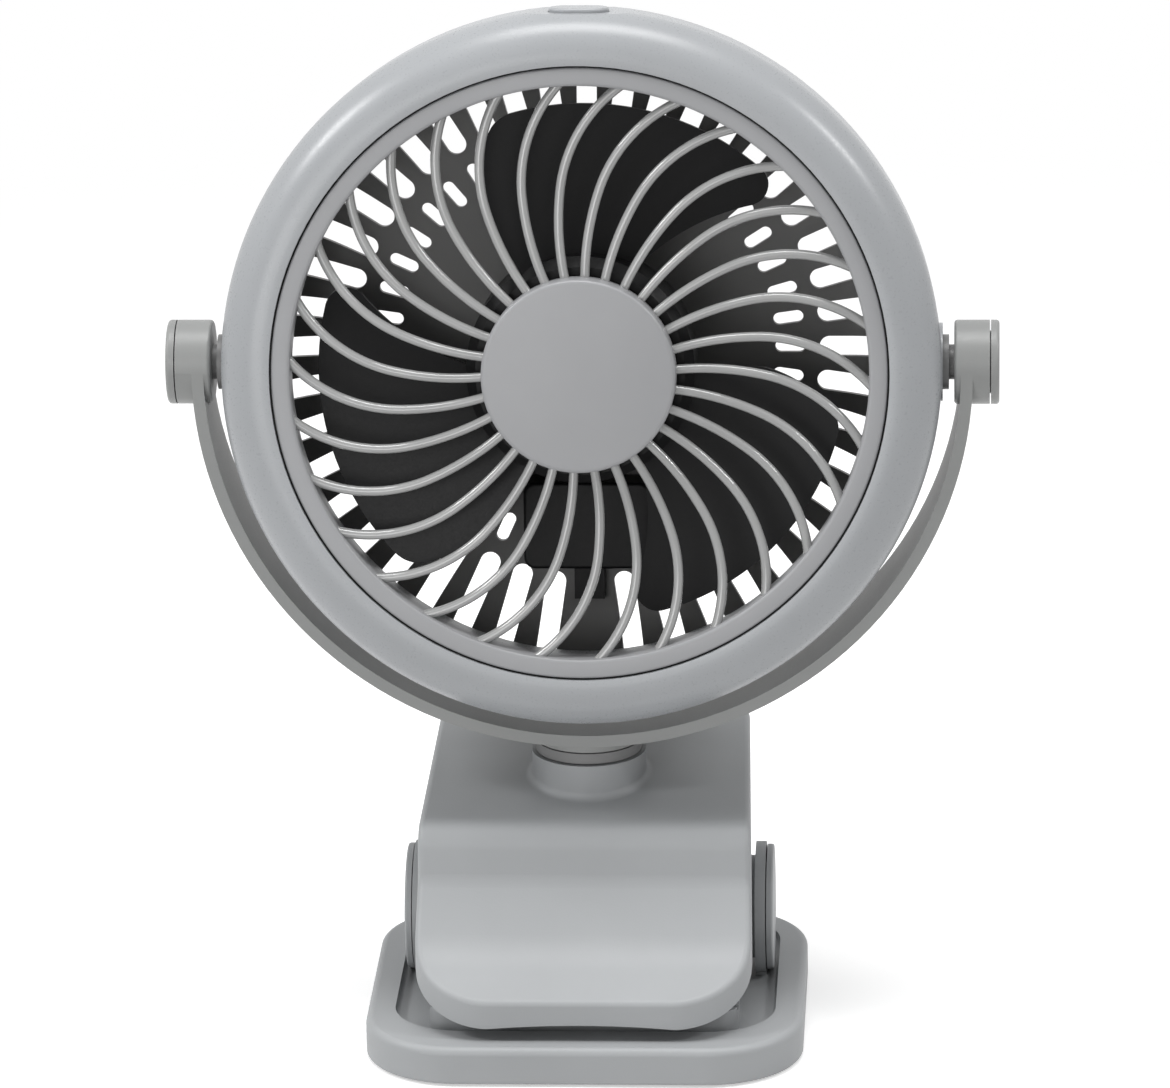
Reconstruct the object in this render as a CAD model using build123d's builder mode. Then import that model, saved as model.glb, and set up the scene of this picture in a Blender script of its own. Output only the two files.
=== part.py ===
"""Clip fan: a round battery fan that tilts in a half-round yoke, on a spring clip.

Millimetres. +X is to the right of someone facing the fan, -Y is the front and +Z is up. The
origin is the centre of the base's underside. The head is drawn on its own plane, HEAD, whose
local z points out of the grille, and whose local x and y are right and up as seen from there.
"""

import os
from math import acos, atan2, cos, degrees, hypot, radians, sin, sqrt, tan

from build123d import *

os.makedirs("parts", exist_ok=True)

# Fits and clearances
RUNNING_FIT = 0.07  # radial, for what turns
SLIP_FIT = 0.15  # for what is pushed in and stays
SEAM = 0.25  # open line between two covers
SEAT_GAP = 0.3  # between a moving piece and what it rests on

# Base, which is the lower jaw. Its width follows from the cell's length, through the hinge.
BASE_DEPTH = 84.0
BASE_HEIGHT = 8.0
BASE_CORNER = 20.0
BASE_TOP_EDGE = 1.6
BASE_BOTTOM_EDGE = 0.7
RIM_SIDE = 5.9
RIM_FRONT = 10.4
RECESS_DEPTH = 2.3
RECESS_EDGE = 0.8
BASE_WALL = 2.4
BASE_FLOOR = 1.6
COVER_THICKNESS = 1.6
FOOT_RADIUS = 5.0
FOOT_THICKNESS = 1.0
FOOT_PROUD = 0.5
FOOT_INSET = 13.5
BASE_SCREW_INSET = 10.0
BASE_SCREW_Y = 16.0
SCREW_BOSS_RADIUS = 3.4
SCREW_HEAD_RADIUS = 2.4
SCREW_HEAD_HEIGHT = 0.9
SCREW_RADIUS = 1.2

# Hinge: two upright discs of the base hold a tube, and the jaw turns on the tube
HINGE_Y = 12.0
HINGE_Z = 19.5
LUG_RADIUS = 14.0
LUG_THICKNESS = 2.2
LUG_FOOT_WIDTH = 10.0
HINGE_CAP_RADIUS = 13.4
HINGE_CAP_THICKNESS = 1.4
HINGE_CAP_EDGE = 0.5
HINGE_CAP_CLEARANCE = 0.95
TUBE_RADIUS = 11.0
TUBE_WALL = 1.5
CELL_RADIUS = 9.2
CELL_LENGTH = 65.0
CELL_BUTTON_RADIUS = 2.8
CELL_BUTTON_HEIGHT = 1.0
CONTACT_THICKNESS = 0.4
CONTACT_LENGTH = 4.75

# Gripping blocks
PAD_WIDTH = 65.0
PAD_FRONT = -27.0
PAD_OVERHANG = 3.0
PAD_DEPTH = 16.0
PAD_HEIGHT = 5.0
PAD_CORNER = 4.0
JAW_PAD_WIDTH = 56.0
JAW_PAD_THICKNESS = 2.5
PAD_GROOVES = 4
PAD_GROOVE_WIDTH = 1.3
PAD_GROOVE_DEPTH = 0.7

# Upper jaw: a bent shell. Its top line, from the back, runs down the handle, over the
# shoulder, down a steep face to the crease, down a ramp to a bend, and out to the lip.
JAW_BACK = (47.0, 54.9)
JAW_SHOULDER = (-12.9, 46.1)
JAW_CREASE = (-14.4, 34.9)
JAW_BEND = (-25.0, 22.7)
JAW_LIP = (-37.6, 16.6)
SHOULDER_RADIUS = 6.0
SHOULDER_UNDER_RADIUS = 1.2
CREASE_RADIUS = 5.0
BEND_RADIUS = 20.0
JAW_SKIRT = 5.3
JAW_WALL = 2.2
JAW_BACK_GAP = 2.1
JAW_FLARE = 2.7
JAW_FRONT_CORNER = 16.5
JAW_BACK_CORNER = 8.0
JAW_EDGE = 1.4
CHEEK_RADIUS = 13.4
CHEEK_TOP_FRONT = -4.0
CHEEK_TOP_BACK = 33.0
CHEEK_GAP = 3.9
CHEEK_THICKNESS = 2.8
LIP_ARCH_WIDTH = 40.0
LIP_ARCH_RISE = 0.9
JAW_RIB_SPACING = 12.0
JAW_RIB_COUNT = 5
JAW_RIB_THICKNESS = 1.6

# Clip spring
WIRE_RADIUS = 0.8
SPRING_RADIUS = 12.5
SPRING_PITCH = 2.2
SPRING_TURNS = 6
LINE_POINTS = 1200

# Neck, on the jaw, and the pivot that turns in it
NECK_Y = 12.0
NECK_RADIUS = 12.1
NECK_FLARE = 1.6
NECK_TOP = 55.4
PIVOT_RADIUS = 11.3
PIVOT_TOP = 57.9
PIVOT_WAIST = 10.4
SPIGOT_RADIUS = 7.9
NECK_BOSS_RADIUS = 11.0
NECK_BOSS_BOTTOM = 44.5
NECK_WASHER_RADIUS = 10.0
NECK_WASHER_THICKNESS = 1.2
NECK_SCREW_RADIUS = 2.0
NECK_SCREW_HEAD_RADIUS = 3.8
NECK_SCREW_HEAD_HEIGHT = 2.0

# Yoke: a half-round band on the tilt axis
TILT_Y = 12.0
RING_TO_YOKE = 6.4
YOKE_STAND = 1.7
YOKE_FOOT_SINK = 1.0
YOKE_THICKNESS = 2.5
YOKE_DEPTH = 23.4
YOKE_LIP_HEIGHT = 0.5
YOKE_LIP_WIDTH = 1.4
BOSS_RADIUS = 8.8
BOSS_GAP = 1.1
BOSS_LENGTH = 7.4
BOSS_EDGE = 0.7
BOSS_CAP_THICKNESS = 1.75
BOSS_CAP_EDGE = 0.7
TILT_PIN_RADIUS = 3.65
TILT_COLLAR_RADIUS = 5.75
TILT_COLLAR_PROUD = 1.3
TILT_SCREW_RADIUS = 1.5
TILT_SCREW_HEAD_RADIUS = 3.0
TILT_SCREW_HEAD_HEIGHT = 1.6
TILT_WASHER_RADIUS = 6.0
TILT_WASHER_THICKNESS = 0.8
BOSS_COUNTERBORE = 6.6
BOSS_CUP_DEPTH = 4.4

# Head, on its own plane
HEAD_TILT = 8.0
RING_RADIUS = 75.0
RING_CREST_RADIUS = 9.2
RING_CREST_Z = 9.9
RING_WALL = 2.0
RING_DRAFT = 0.4
RING_BACK_Z = -1.5
RING_FACE_WIDTH = 10.75
DUCT_STEP = 1.8
DUCT_WALL = 1.8
LEDGE_Z = 15.4
PIN_BOSS_RADIUS = 8.2
PIN_BOSS_PROUD = 0.1
PIN_BOSS_DEPTH = 8.1

# Front grille
GRILLE_RIM_WIDTH = 4.0
GRILLE_FRONT_Z = 18.5
GRILLE_SPIGOT_Z = 11.5
GRILLE_EDGE = 0.6
HUB_RADIUS = 20.2
HUB_FRONT_Z = 21.0
HUB_BACK_Z = 14.6
HUB_WALL = 2.2
HUB_EDGE = 0.8
RIB_COUNT = 30
RIB_ROOT = 1.6
RIB_HOLD = 0.75
RIB_START_DIRECTION = 1.95
RIB_LEAN = 4.9
RIB_MIDDLE_RADIUS = 38.44
RIB_MIDDLE_DIRECTION = -0.4
RIB_END_DIRECTION = -14.8
RIB_WIDTH = 2.0
RIB_DEPTH = 2.4
RIB_CHAMFER = 0.7
RIB_BACK_Z = 14.4

# Power button, on a flat at the top of the ring
BUTTON_FLAT_DEPTH = 0.74
BUTTON_Z = 7.0
BUTTON_LENGTH = 12.5
BUTTON_WIDTH = 7.6
BUTTON_PROUD = 0.9
BUTTON_TRAVEL = 0.5
BUTTON_FLANGE = 1.0
BUTTON_FLANGE_DEPTH = 2.36
BUTTON_EDGE = 0.5
SWITCH_SIZE = 6.0
SWITCH_HEIGHT = 3.5
SWITCH_BOARD = 1.2
SWITCH_BOARD_LENGTH = 13.0
SWITCH_BOARD_WIDTH = 7.0
SWITCH_PLUNGER = 1.7

# Rear cover
COVER_INSET = 1.0
COVER_SHOULDER = 19.0
COVER_BACK_Z = -24.0
COVER_WALL = 2.0
SPIGOT_WALL = 1.7
SPIGOT_LENGTH = 2.5
SLOT_POSITIONS = 44
SLOT_EDGE = 3.5
LONG_SLOT_LENGTH = 21.5
LONG_SLOT_WIDTH = 4.3
SLOT_RING_GAP = 3.0
SHORT_SLOT_LENGTH = 6.4
SHORT_SLOT_WIDTH = 2.6

# Motor and its mount
MOTOR_RADIUS = 16.5
MOTOR_FRONT_Z = -9.0
MOTOR_BELL_RADIUS = 12.5
MOTOR_BELL_FRONT_Z = -2.5
MOTOR_CUP_WALL = 1.9
SHAFT_RADIUS = 1.0
SHAFT_FRONT_Z = 12.6
SHAFT_BACK_Z = -20.5
MOUNT_THICKNESS = 1.5
MOUNT_SCREW_CIRCLE = 21.0
MOUNT_EAR_RADIUS = 3.4
MOUNT_EAR_START = 90.0
MOUNT_SCREW_COUNT = 3
MOUNT_HEAD_RADIUS = 2.2
MOUNT_HEAD_HEIGHT = 1.0

# Control board under the motor, its cover, and the charging socket in the back
BOARD_COVER_WIDTH = 27.0
BOARD_COVER_TOP = -27.6
BOARD_COVER_BOTTOM = -46.1
BOARD_COVER_FRONT_Z = -11.0
BOARD_COVER_WALL = 1.5
BOARD_COVER_CORNER = 2.5
BOARD_THICKNESS = 1.2
BOARD_FRONT_Z = -16.8
BOARD_LEDGE = 1.6
CABLE_TONGUE_WIDTH = 6.4
CABLE_TONGUE_THICKNESS = 2.6
CABLE_TONGUE_GAP = 1.0
SOCKET_WIDTH = 8.0
SOCKET_HEIGHT = 3.0
SOCKET_WALL = 0.5
SOCKET_Y = -36.0

# Propeller
FAN_HUB_RADIUS = 23.8
FAN_HUB_FRONT_Z = 13.0
FAN_HUB_BACK_Z = -5.0
FAN_HUB_WALL = 1.8
FAN_HUB_EDGE = 2.0
FAN_BOSS_RADIUS = 4.2
FAN_BOSS_BACK_Z = -0.5
BLADE_COUNT = 3
BLADE_CLEARANCE = 6.6
BLADE_DIRECTION = 80.0
BLADE_OVERRUN = 2.5
BLADE_MIDDLE_Z = 5.0
BLADE_RISE = 6.6
BLADE_HALF_ANGLE = 41.0
BLADE_CAMBER = 1.6
BLADE_ROOT_THICKNESS = 2.0
BLADE_TIP_THICKNESS = 1.3
LEADING_ROOT = 61.0
LEADING_MIDDLE = 52.5
LEADING_MIDDLE_RADIUS = 35.1
LEADING_TIP = 37.6
TRAILING_ROOT = 122.0
TRAILING_MIDDLE = 119.7
TRAILING_MIDDLE_RADIUS = 40.6
TRAILING_TIP = 108.5
LEADING_CORNER = 4.5
TRAILING_CORNER = 7.0
NUT_RADIUS = 2.6
NUT_HEIGHT = 1.6
NUT_RECESS = 4.6

# Sizes that follow from others
lug_outside = CELL_LENGTH / 2 + CONTACT_LENGTH + SEAM
lug_inside = lug_outside - LUG_THICKNESS
base_width = 2 * (lug_outside + SEAM + HINGE_CAP_THICKNESS + HINGE_CAP_CLEARANCE + RIM_SIDE)
pin_boss_face = RING_RADIUS + PIN_BOSS_PROUD
tilt_pin_root = pin_boss_face - PIN_BOSS_DEPTH
boss_inside = pin_boss_face + TILT_COLLAR_PROUD + BOSS_GAP
boss_outside = boss_inside + BOSS_LENGTH
boss_seat = boss_outside - BOSS_CUP_DEPTH
yoke_radius = RING_RADIUS + RING_TO_YOKE
yoke_inside = yoke_radius - YOKE_THICKNESS
yoke_bottom = PIVOT_TOP + YOKE_STAND
tilt_z = yoke_bottom + yoke_radius
yoke_foot_top = yoke_bottom + YOKE_FOOT_SINK
grille_radius = RING_RADIUS - RING_FACE_WIDTH - SEAM
grille_opening = grille_radius - GRILLE_RIM_WIDTH
duct_radius = grille_opening + DUCT_STEP
blade_tip = duct_radius - BLADE_CLEARANCE
cover_radius = RING_RADIUS - COVER_INSET

# Planes and axes
HEAD = Plane(
    origin=(0, TILT_Y, tilt_z),
    x_dir=(1, 0, 0),
    z_dir=(0, -cos(radians(HEAD_TILT)), sin(radians(HEAD_TILT))),
)
HEAD_SECTION = Plane(origin=HEAD.origin, x_dir=HEAD.x_dir, z_dir=-HEAD.y_dir)
HEAD_AXIS = Axis(HEAD.origin, HEAD.z_dir)
HEAD_UP = Axis(HEAD.origin, HEAD.y_dir)
YOKE_FRONT = Plane(origin=(0, TILT_Y, tilt_z), x_dir=(1, 0, 0), z_dir=(0, -1, 0))
NECK_SECTION = Plane(origin=(0, NECK_Y, 0), x_dir=(1, 0, 0), z_dir=(0, -1, 0))
NECK_AXIS = Axis((0, NECK_Y, 0), (0, 0, 1))


def polar(radius, degrees):
    """A point of a plane, by its distance and direction from the middle."""
    return (radius * cos(radians(degrees)), radius * sin(radians(degrees)))


def touching(point, centre, radius, turn):
    """Where a line from the point touches the circle; a turn of 1 or -1 chooses the side."""
    reach = (point[0] - centre[0], point[1] - centre[1])
    spread = degrees(acos(radius / hypot(*reach)))
    x, y = polar(radius, degrees(atan2(reach[1], reach[0])) + turn * spread)
    return (centre[0] + x, centre[1] + y)


def side_plane(x):
    """A plane square to X whose local x is Y and whose local y is Z."""
    return Plane.YZ.offset(x)


def outward_plane(side, x):
    """A plane square to X at side * x, facing away from the middle, with Y as its local x."""
    return Plane(origin=(side * x, 0, 0), x_dir=(0, side, 0), z_dir=(side, 0, 0))


def shifted_line(points, distance):
    """A bent line moved square to itself, to the right of its run, with mitred corners."""
    shifted = []
    runs = list(zip(points, points[1:]))
    rights = []
    for (y0, z0), (y1, z1) in runs:
        length = sqrt((y1 - y0) ** 2 + (z1 - z0) ** 2)
        rights.append(((z1 - z0) / length, -(y1 - y0) / length))
    for index, (y, z) in enumerate(points):
        before = rights[max(index - 1, 0)]
        after = rights[min(index, len(rights) - 1)]
        together = 1 + before[0] * after[0] + before[1] * after[1]
        shift_y = distance * (before[0] + after[0]) / together
        shift_z = distance * (before[1] + after[1]) / together
        shifted.append((y + shift_y, z + shift_z))
    return shifted


# ---------------------------------------------------------------- base
recess_floor = BASE_HEIGHT - RECESS_DEPTH
pocket_top = recess_floor - BASE_FLOOR
pocket_width = base_width - 2 * BASE_WALL
pocket_depth = BASE_DEPTH - 2 * BASE_WALL
pocket_corner = BASE_CORNER - BASE_WALL
base_screw_x = base_width / 2 - BASE_SCREW_INSET
foot_x = base_width / 2 - FOOT_INSET
foot_y = BASE_DEPTH / 2 - FOOT_INSET
base_screw_places = [(x * base_screw_x, y * BASE_SCREW_Y) for x in (-1, 1) for y in (-1, 1)]
foot_places = [(x * foot_x, y * foot_y) for x in (-1, 1) for y in (-1, 1)]

with BuildPart() as base_shell:
    with BuildSketch(Plane.XY):
        RectangleRounded(base_width, BASE_DEPTH, BASE_CORNER)
    extrude(amount=BASE_HEIGHT)
    fillet(base_shell.faces().sort_by(Axis.Z)[-1].edges(), BASE_TOP_EDGE)
    fillet(base_shell.faces().sort_by(Axis.Z)[0].edges(), BASE_BOTTOM_EDGE)
    with BuildSketch(Plane.XY.offset(recess_floor)):
        with Locations((0, (RIM_FRONT - RIM_SIDE) / 2)):
            RectangleRounded(
                base_width - 2 * RIM_SIDE,
                BASE_DEPTH - RIM_FRONT - RIM_SIDE,
                BASE_CORNER - RIM_SIDE,
            )
    extrude(amount=RECESS_DEPTH, mode=Mode.SUBTRACT)
    recess_face = base_shell.faces().filter_by(Plane.XY).filter_by_position(
        Axis.Z, recess_floor - 0.01, recess_floor + 0.01
    )
    fillet(recess_face.edges(), RECESS_EDGE)
    # The discs stand on the recess floor, each with a straight foot under its middle.
    for side in (-1, 1):
        with BuildSketch(outward_plane(side, lug_inside)):
            with Locations((side * HINGE_Y, HINGE_Z)):
                Circle(LUG_RADIUS)
            with Locations((side * HINGE_Y, (HINGE_Z + recess_floor) / 2)):
                Rectangle(LUG_FOOT_WIDTH, HINGE_Z - recess_floor)
        extrude(amount=LUG_THICKNESS)
        with BuildSketch(outward_plane(side, lug_inside)):
            with Locations((side * HINGE_Y, HINGE_Z)):
                Circle(TUBE_RADIUS + SLIP_FIT)
        extrude(amount=LUG_THICKNESS, mode=Mode.SUBTRACT)
    with BuildSketch(Plane.XY):
        RectangleRounded(pocket_width, pocket_depth, pocket_corner)
        with Locations(*base_screw_places):
            Circle(SCREW_BOSS_RADIUS, mode=Mode.SUBTRACT)
    extrude(amount=pocket_top, mode=Mode.SUBTRACT)
    # The bosses stop at the bottom cover, and each takes a screw.
    with BuildSketch(Plane.XY):
        with Locations(*base_screw_places):
            Circle(SCREW_BOSS_RADIUS + SLIP_FIT)
    extrude(amount=COVER_THICKNESS, mode=Mode.SUBTRACT)
    with BuildSketch(Plane.XY):
        with Locations(*base_screw_places):
            Circle(SCREW_RADIUS + SLIP_FIT / 3)
    extrude(amount=pocket_top, mode=Mode.SUBTRACT)

with BuildPart() as bottom_cover:
    with BuildSketch(Plane.XY):
        RectangleRounded(
            pocket_width - 2 * SLIP_FIT, pocket_depth - 2 * SLIP_FIT, pocket_corner - SLIP_FIT
        )
        with Locations(*base_screw_places):
            Circle(SCREW_RADIUS + SLIP_FIT, mode=Mode.SUBTRACT)
    extrude(amount=COVER_THICKNESS)
    with BuildSketch(Plane.XY):
        with Locations(*base_screw_places):
            Circle(SCREW_HEAD_RADIUS + SLIP_FIT)
        with Locations(*foot_places):
            Circle(FOOT_RADIUS + SLIP_FIT)
    extrude(amount=SCREW_HEAD_HEIGHT, mode=Mode.SUBTRACT)
    with BuildSketch(Plane.XY.offset(FOOT_THICKNESS - FOOT_PROUD)):
        with Locations(*foot_places):
            Circle(FOOT_RADIUS + SLIP_FIT)
    extrude(amount=SCREW_HEAD_HEIGHT - FOOT_THICKNESS + FOOT_PROUD)

with BuildPart() as bottom_screws:
    with BuildSketch(Plane.XY):
        with Locations(*base_screw_places):
            Circle(SCREW_HEAD_RADIUS)
    extrude(amount=SCREW_HEAD_HEIGHT)
    with BuildSketch(Plane.XY):
        with Locations(*base_screw_places):
            Circle(SCREW_RADIUS)
    extrude(amount=pocket_top)

with BuildPart() as rubber_feet:
    with BuildSketch(Plane.XY.offset(-FOOT_PROUD)):
        with Locations(*foot_places):
            Circle(FOOT_RADIUS)
    extrude(amount=FOOT_THICKNESS)

# ---------------------------------------------------------------- hinge tube, cell and caps
tube_bore = TUBE_RADIUS - TUBE_WALL
contact_outside = lug_outside - SEAM

with BuildPart() as hinge_tube:
    with BuildSketch(side_plane(-lug_outside)):
        with Locations((HINGE_Y, HINGE_Z)):
            Circle(TUBE_RADIUS)
            Circle(tube_bore, mode=Mode.SUBTRACT)
    extrude(amount=2 * lug_outside)

with BuildPart() as battery_cell:
    with BuildSketch(side_plane(-CELL_LENGTH / 2)):
        with Locations((HINGE_Y, HINGE_Z)):
            Circle(CELL_RADIUS)
    extrude(amount=CELL_LENGTH - CELL_BUTTON_HEIGHT)
    with BuildSketch(side_plane(CELL_LENGTH / 2 - CELL_BUTTON_HEIGHT)):
        with Locations((HINGE_Y, HINGE_Z)):
            Circle(CELL_BUTTON_RADIUS)
    extrude(amount=CELL_BUTTON_HEIGHT)

with BuildPart() as battery_contacts:
    for side in (-1, 1):
        with BuildSketch(outward_plane(side, CELL_LENGTH / 2)):
            with Locations((side * HINGE_Y, HINGE_Z)):
                Circle(CELL_BUTTON_RADIUS)
        extrude(amount=contact_outside - CELL_LENGTH / 2)
        with BuildSketch(outward_plane(side, contact_outside - CONTACT_THICKNESS)):
            with Locations((side * HINGE_Y, HINGE_Z)):
                Circle(tube_bore - SLIP_FIT)
        extrude(amount=CONTACT_THICKNESS)


def make_hinge_cap(side):
    """A round cap whose spigot holds the contact in the end of the tube."""
    with BuildPart() as cap:
        with BuildSketch(outward_plane(side, lug_outside + SEAM)):
            with Locations((side * HINGE_Y, HINGE_Z)):
                Circle(HINGE_CAP_RADIUS)
        extrude(amount=HINGE_CAP_THICKNESS)
        fillet(cap.faces().sort_by(Axis.X)[-1 if side > 0 else 0].edges(), HINGE_CAP_EDGE)
        with BuildSketch(outward_plane(side, contact_outside)):
            with Locations((side * HINGE_Y, HINGE_Z)):
                Circle(tube_bore - SLIP_FIT)
        extrude(amount=2 * SEAM)
    return cap


hinge_cap_left = make_hinge_cap(-1)
hinge_cap_right = make_hinge_cap(1)

# ---------------------------------------------------------------- lower pad
groove_pitch = PAD_DEPTH / (PAD_GROOVES + 1)
pad_top = recess_floor + PAD_HEIGHT

with BuildPart() as lower_pad:
    with BuildSketch(Plane.XY.offset(recess_floor)):
        with Locations((0, PAD_FRONT + PAD_DEPTH / 2)):
            RectangleRounded(PAD_WIDTH, PAD_DEPTH, PAD_CORNER)
    extrude(amount=PAD_HEIGHT)
    with BuildSketch(Plane.XY.offset(pad_top - PAD_GROOVE_DEPTH)):
        with Locations((0, PAD_FRONT + PAD_DEPTH / 2)):
            with GridLocations(0, groove_pitch, 1, PAD_GROOVES):
                Rectangle(PAD_WIDTH, PAD_GROOVE_WIDTH)
    extrude(amount=PAD_GROOVE_DEPTH, mode=Mode.SUBTRACT)

# ---------------------------------------------------------------- upper jaw
jaw_line = [JAW_BACK, JAW_SHOULDER, JAW_CREASE, JAW_BEND, JAW_LIP]
jaw_inner_line = shifted_line(jaw_line, -JAW_WALL)
jaw_under_line = shifted_line(jaw_line, -JAW_SKIRT)
handle_slope = (JAW_BACK[1] - JAW_SHOULDER[1]) / (JAW_BACK[0] - JAW_SHOULDER[0])


def handle_z(y):
    """Height of the handle's top face."""
    return JAW_BACK[1] + handle_slope * (y - JAW_BACK[0])


def on_line_at(points, y_back, y_front):
    """The bent line with its two ends slid along their own runs to the given places."""
    (y0, z0), (y1, z1) = points[0], points[1]
    (y2, z2), (y3, z3) = points[-2], points[-1]
    back = (y_back, z1 + (z0 - z1) * (y_back - y1) / (y0 - y1))
    front = (y_front, z2 + (z3 - z2) * (y_front - y2) / (y3 - y2))
    return [back, *points[1:-1], front]


def jaw_outline(inset):
    """The jaw from above, drawn as a face: it widens to the lip, and its corners are round."""
    back = lug_inside - JAW_BACK_GAP - inset
    front = back + JAW_FLARE
    y_back = JAW_BACK[0] - inset
    y_front = JAW_LIP[0] + inset
    with BuildSketch(Plane.XY) as outline:
        with BuildLine():
            Polyline((-back, y_back), (-front, y_front), (front, y_front), (back, y_back), close=True)
        make_face()
        fillet(outline.vertices().group_by(Axis.Y)[0], JAW_FRONT_CORNER - inset)
        fillet(outline.vertices().group_by(Axis.Y)[-1], JAW_BACK_CORNER - inset)
    return outline.sketch


def jaw_band(top_line, under_line, inset):
    """The slab between two bent lines, cut to the outline from above."""
    top = on_line_at(top_line, JAW_BACK[0] - inset, JAW_LIP[0] + inset)
    under = on_line_at(under_line, JAW_BACK[0] - inset, JAW_LIP[0] + inset)
    depth = JAW_WALL if inset else 0
    outline = jaw_outline(inset)
    with BuildPart() as band:
        with BuildSketch(Plane.YZ):
            with BuildLine():
                FilletPolyline(
                    *top, radius=[SHOULDER_RADIUS - depth, CREASE_RADIUS + depth, BEND_RADIUS + depth]
                )
                FilletPolyline(
                    *under,
                    radius=[SHOULDER_UNDER_RADIUS, CREASE_RADIUS + JAW_SKIRT, BEND_RADIUS + JAW_SKIRT],
                )
                Line(top[0], under[0])
                Line(top[-1], under[-1])
            make_face()
        extrude(amount=lug_outside, both=True)
        with BuildSketch(Plane.XY):
            add(outline)
        extrude(amount=2 * JAW_BACK[1], mode=Mode.INTERSECT)
    return band.part


cheek_inside = lug_inside - CHEEK_GAP - CHEEK_THICKNESS
lip_bottom = on_line_at(jaw_under_line, JAW_BACK[0], JAW_LIP[0])[-1][1]
pad_bottom = pad_top + SEAT_GAP
rib_bottom = pad_bottom + JAW_PAD_THICKNESS
jaw_pad_front = PAD_FRONT - PAD_OVERHANG
# The wall's middle line over the pad, from its back edge over the bend to its front edge
rib_tops = on_line_at(
    shifted_line(jaw_line, -JAW_WALL / 2)[2:], jaw_pad_front + PAD_DEPTH, jaw_pad_front
)

with BuildPart() as upper_jaw:
    add(jaw_band(jaw_line, jaw_under_line, 0))
    tops = upper_jaw.faces().filter_by(lambda face: face.normal_at().Z > 0.1)
    top_edges = tops.edges()
    rim = [edge for edge in top_edges if sum(edge.is_same(other) for other in top_edges) == 1]
    fillet(rim, JAW_EDGE)
    add(
        jaw_band(jaw_inner_line, shifted_line(jaw_line, -2 * JAW_SKIRT), JAW_WALL),
        mode=Mode.SUBTRACT,
    )
    # The front face's lower edge arches up in the middle.
    with BuildSketch(Plane(origin=(0, JAW_LIP[0], 0), x_dir=(1, 0, 0), z_dir=(0, -1, 0))):
        with BuildLine():
            ThreePointArc(
                (-LIP_ARCH_WIDTH / 2, lip_bottom),
                (0, lip_bottom + LIP_ARCH_RISE),
                (LIP_ARCH_WIDTH / 2, lip_bottom),
            )
            Line((LIP_ARCH_WIDTH / 2, lip_bottom), (-LIP_ARCH_WIDTH / 2, lip_bottom))
        make_face()
    extrude(amount=JAW_WALL, both=True, mode=Mode.SUBTRACT)
    # Two cheeks hang from the handle and turn on the tube.
    for x in (-cheek_inside - CHEEK_THICKNESS, cheek_inside):
        with BuildSketch(side_plane(x)):
            with Locations((HINGE_Y, HINGE_Z)):
                Circle(CHEEK_RADIUS)
            with BuildLine():
                Line(
                    (CHEEK_TOP_FRONT, handle_z(CHEEK_TOP_FRONT) - JAW_WALL / 2),
                    (CHEEK_TOP_BACK, handle_z(CHEEK_TOP_BACK) - JAW_WALL / 2),
                )
            make_hull()
        extrude(amount=CHEEK_THICKNESS)
        with BuildSketch(side_plane(x)):
            with Locations((HINGE_Y, HINGE_Z)):
                Circle(TUBE_RADIUS + RUNNING_FIT)
        extrude(amount=CHEEK_THICKNESS, mode=Mode.SUBTRACT)
    # Ribs carry the gripping pad under the lip.
    for index in range(JAW_RIB_COUNT):
        x = (index - (JAW_RIB_COUNT - 1) / 2) * JAW_RIB_SPACING
        with BuildSketch(side_plane(x - JAW_RIB_THICKNESS / 2)):
            with BuildLine():
                Polyline(
                    (jaw_pad_front, rib_bottom),
                    (jaw_pad_front + PAD_DEPTH, rib_bottom),
                    *rib_tops,
                    close=True,
                )
            make_face()
        extrude(amount=JAW_RIB_THICKNESS)
    # The neck collar grows out of the handle, with a boss under it for the pivot.
    with BuildSketch(Plane.XY.offset(NECK_BOSS_BOTTOM)):
        with Locations((0, NECK_Y)):
            Circle(NECK_BOSS_RADIUS)
    extrude(amount=NECK_TOP - NECK_BOSS_BOTTOM)
    with BuildSketch(Plane.XY.offset(handle_z(NECK_Y - NECK_RADIUS) - JAW_WALL / 2)):
        with Locations((0, NECK_Y)):
            Circle(NECK_RADIUS)
    extrude(amount=NECK_TOP - handle_z(NECK_Y - NECK_RADIUS) + JAW_WALL / 2)
    foot_edge = upper_jaw.edges(Select.LAST).filter_by(GeomType.ELLIPSE).sort_by(Axis.Z)[-1]
    fillet(foot_edge, NECK_FLARE)
    with BuildSketch(Plane.XY.offset(NECK_BOSS_BOTTOM)):
        with Locations((0, NECK_Y)):
            Circle(SPIGOT_RADIUS + RUNNING_FIT)
    extrude(amount=NECK_TOP - NECK_BOSS_BOTTOM, mode=Mode.SUBTRACT)

with BuildPart() as jaw_pad:
    with BuildSketch(Plane.XY.offset(pad_bottom)):
        with Locations((0, jaw_pad_front + PAD_DEPTH / 2)):
            RectangleRounded(JAW_PAD_WIDTH, PAD_DEPTH, PAD_CORNER)
    extrude(amount=JAW_PAD_THICKNESS)
    with BuildSketch(Plane.XY.offset(pad_bottom)):
        with Locations((0, jaw_pad_front + PAD_DEPTH / 2)):
            with GridLocations(0, groove_pitch, 1, PAD_GROOVES):
                Rectangle(JAW_PAD_WIDTH, PAD_GROOVE_WIDTH)
    extrude(amount=PAD_GROOVE_DEPTH, mode=Mode.SUBTRACT)

# ---------------------------------------------------------------- clip spring
spring_side = HINGE_Y + SPRING_RADIUS
spring_start_x = -SPRING_PITCH * SPRING_TURNS / 2


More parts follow.
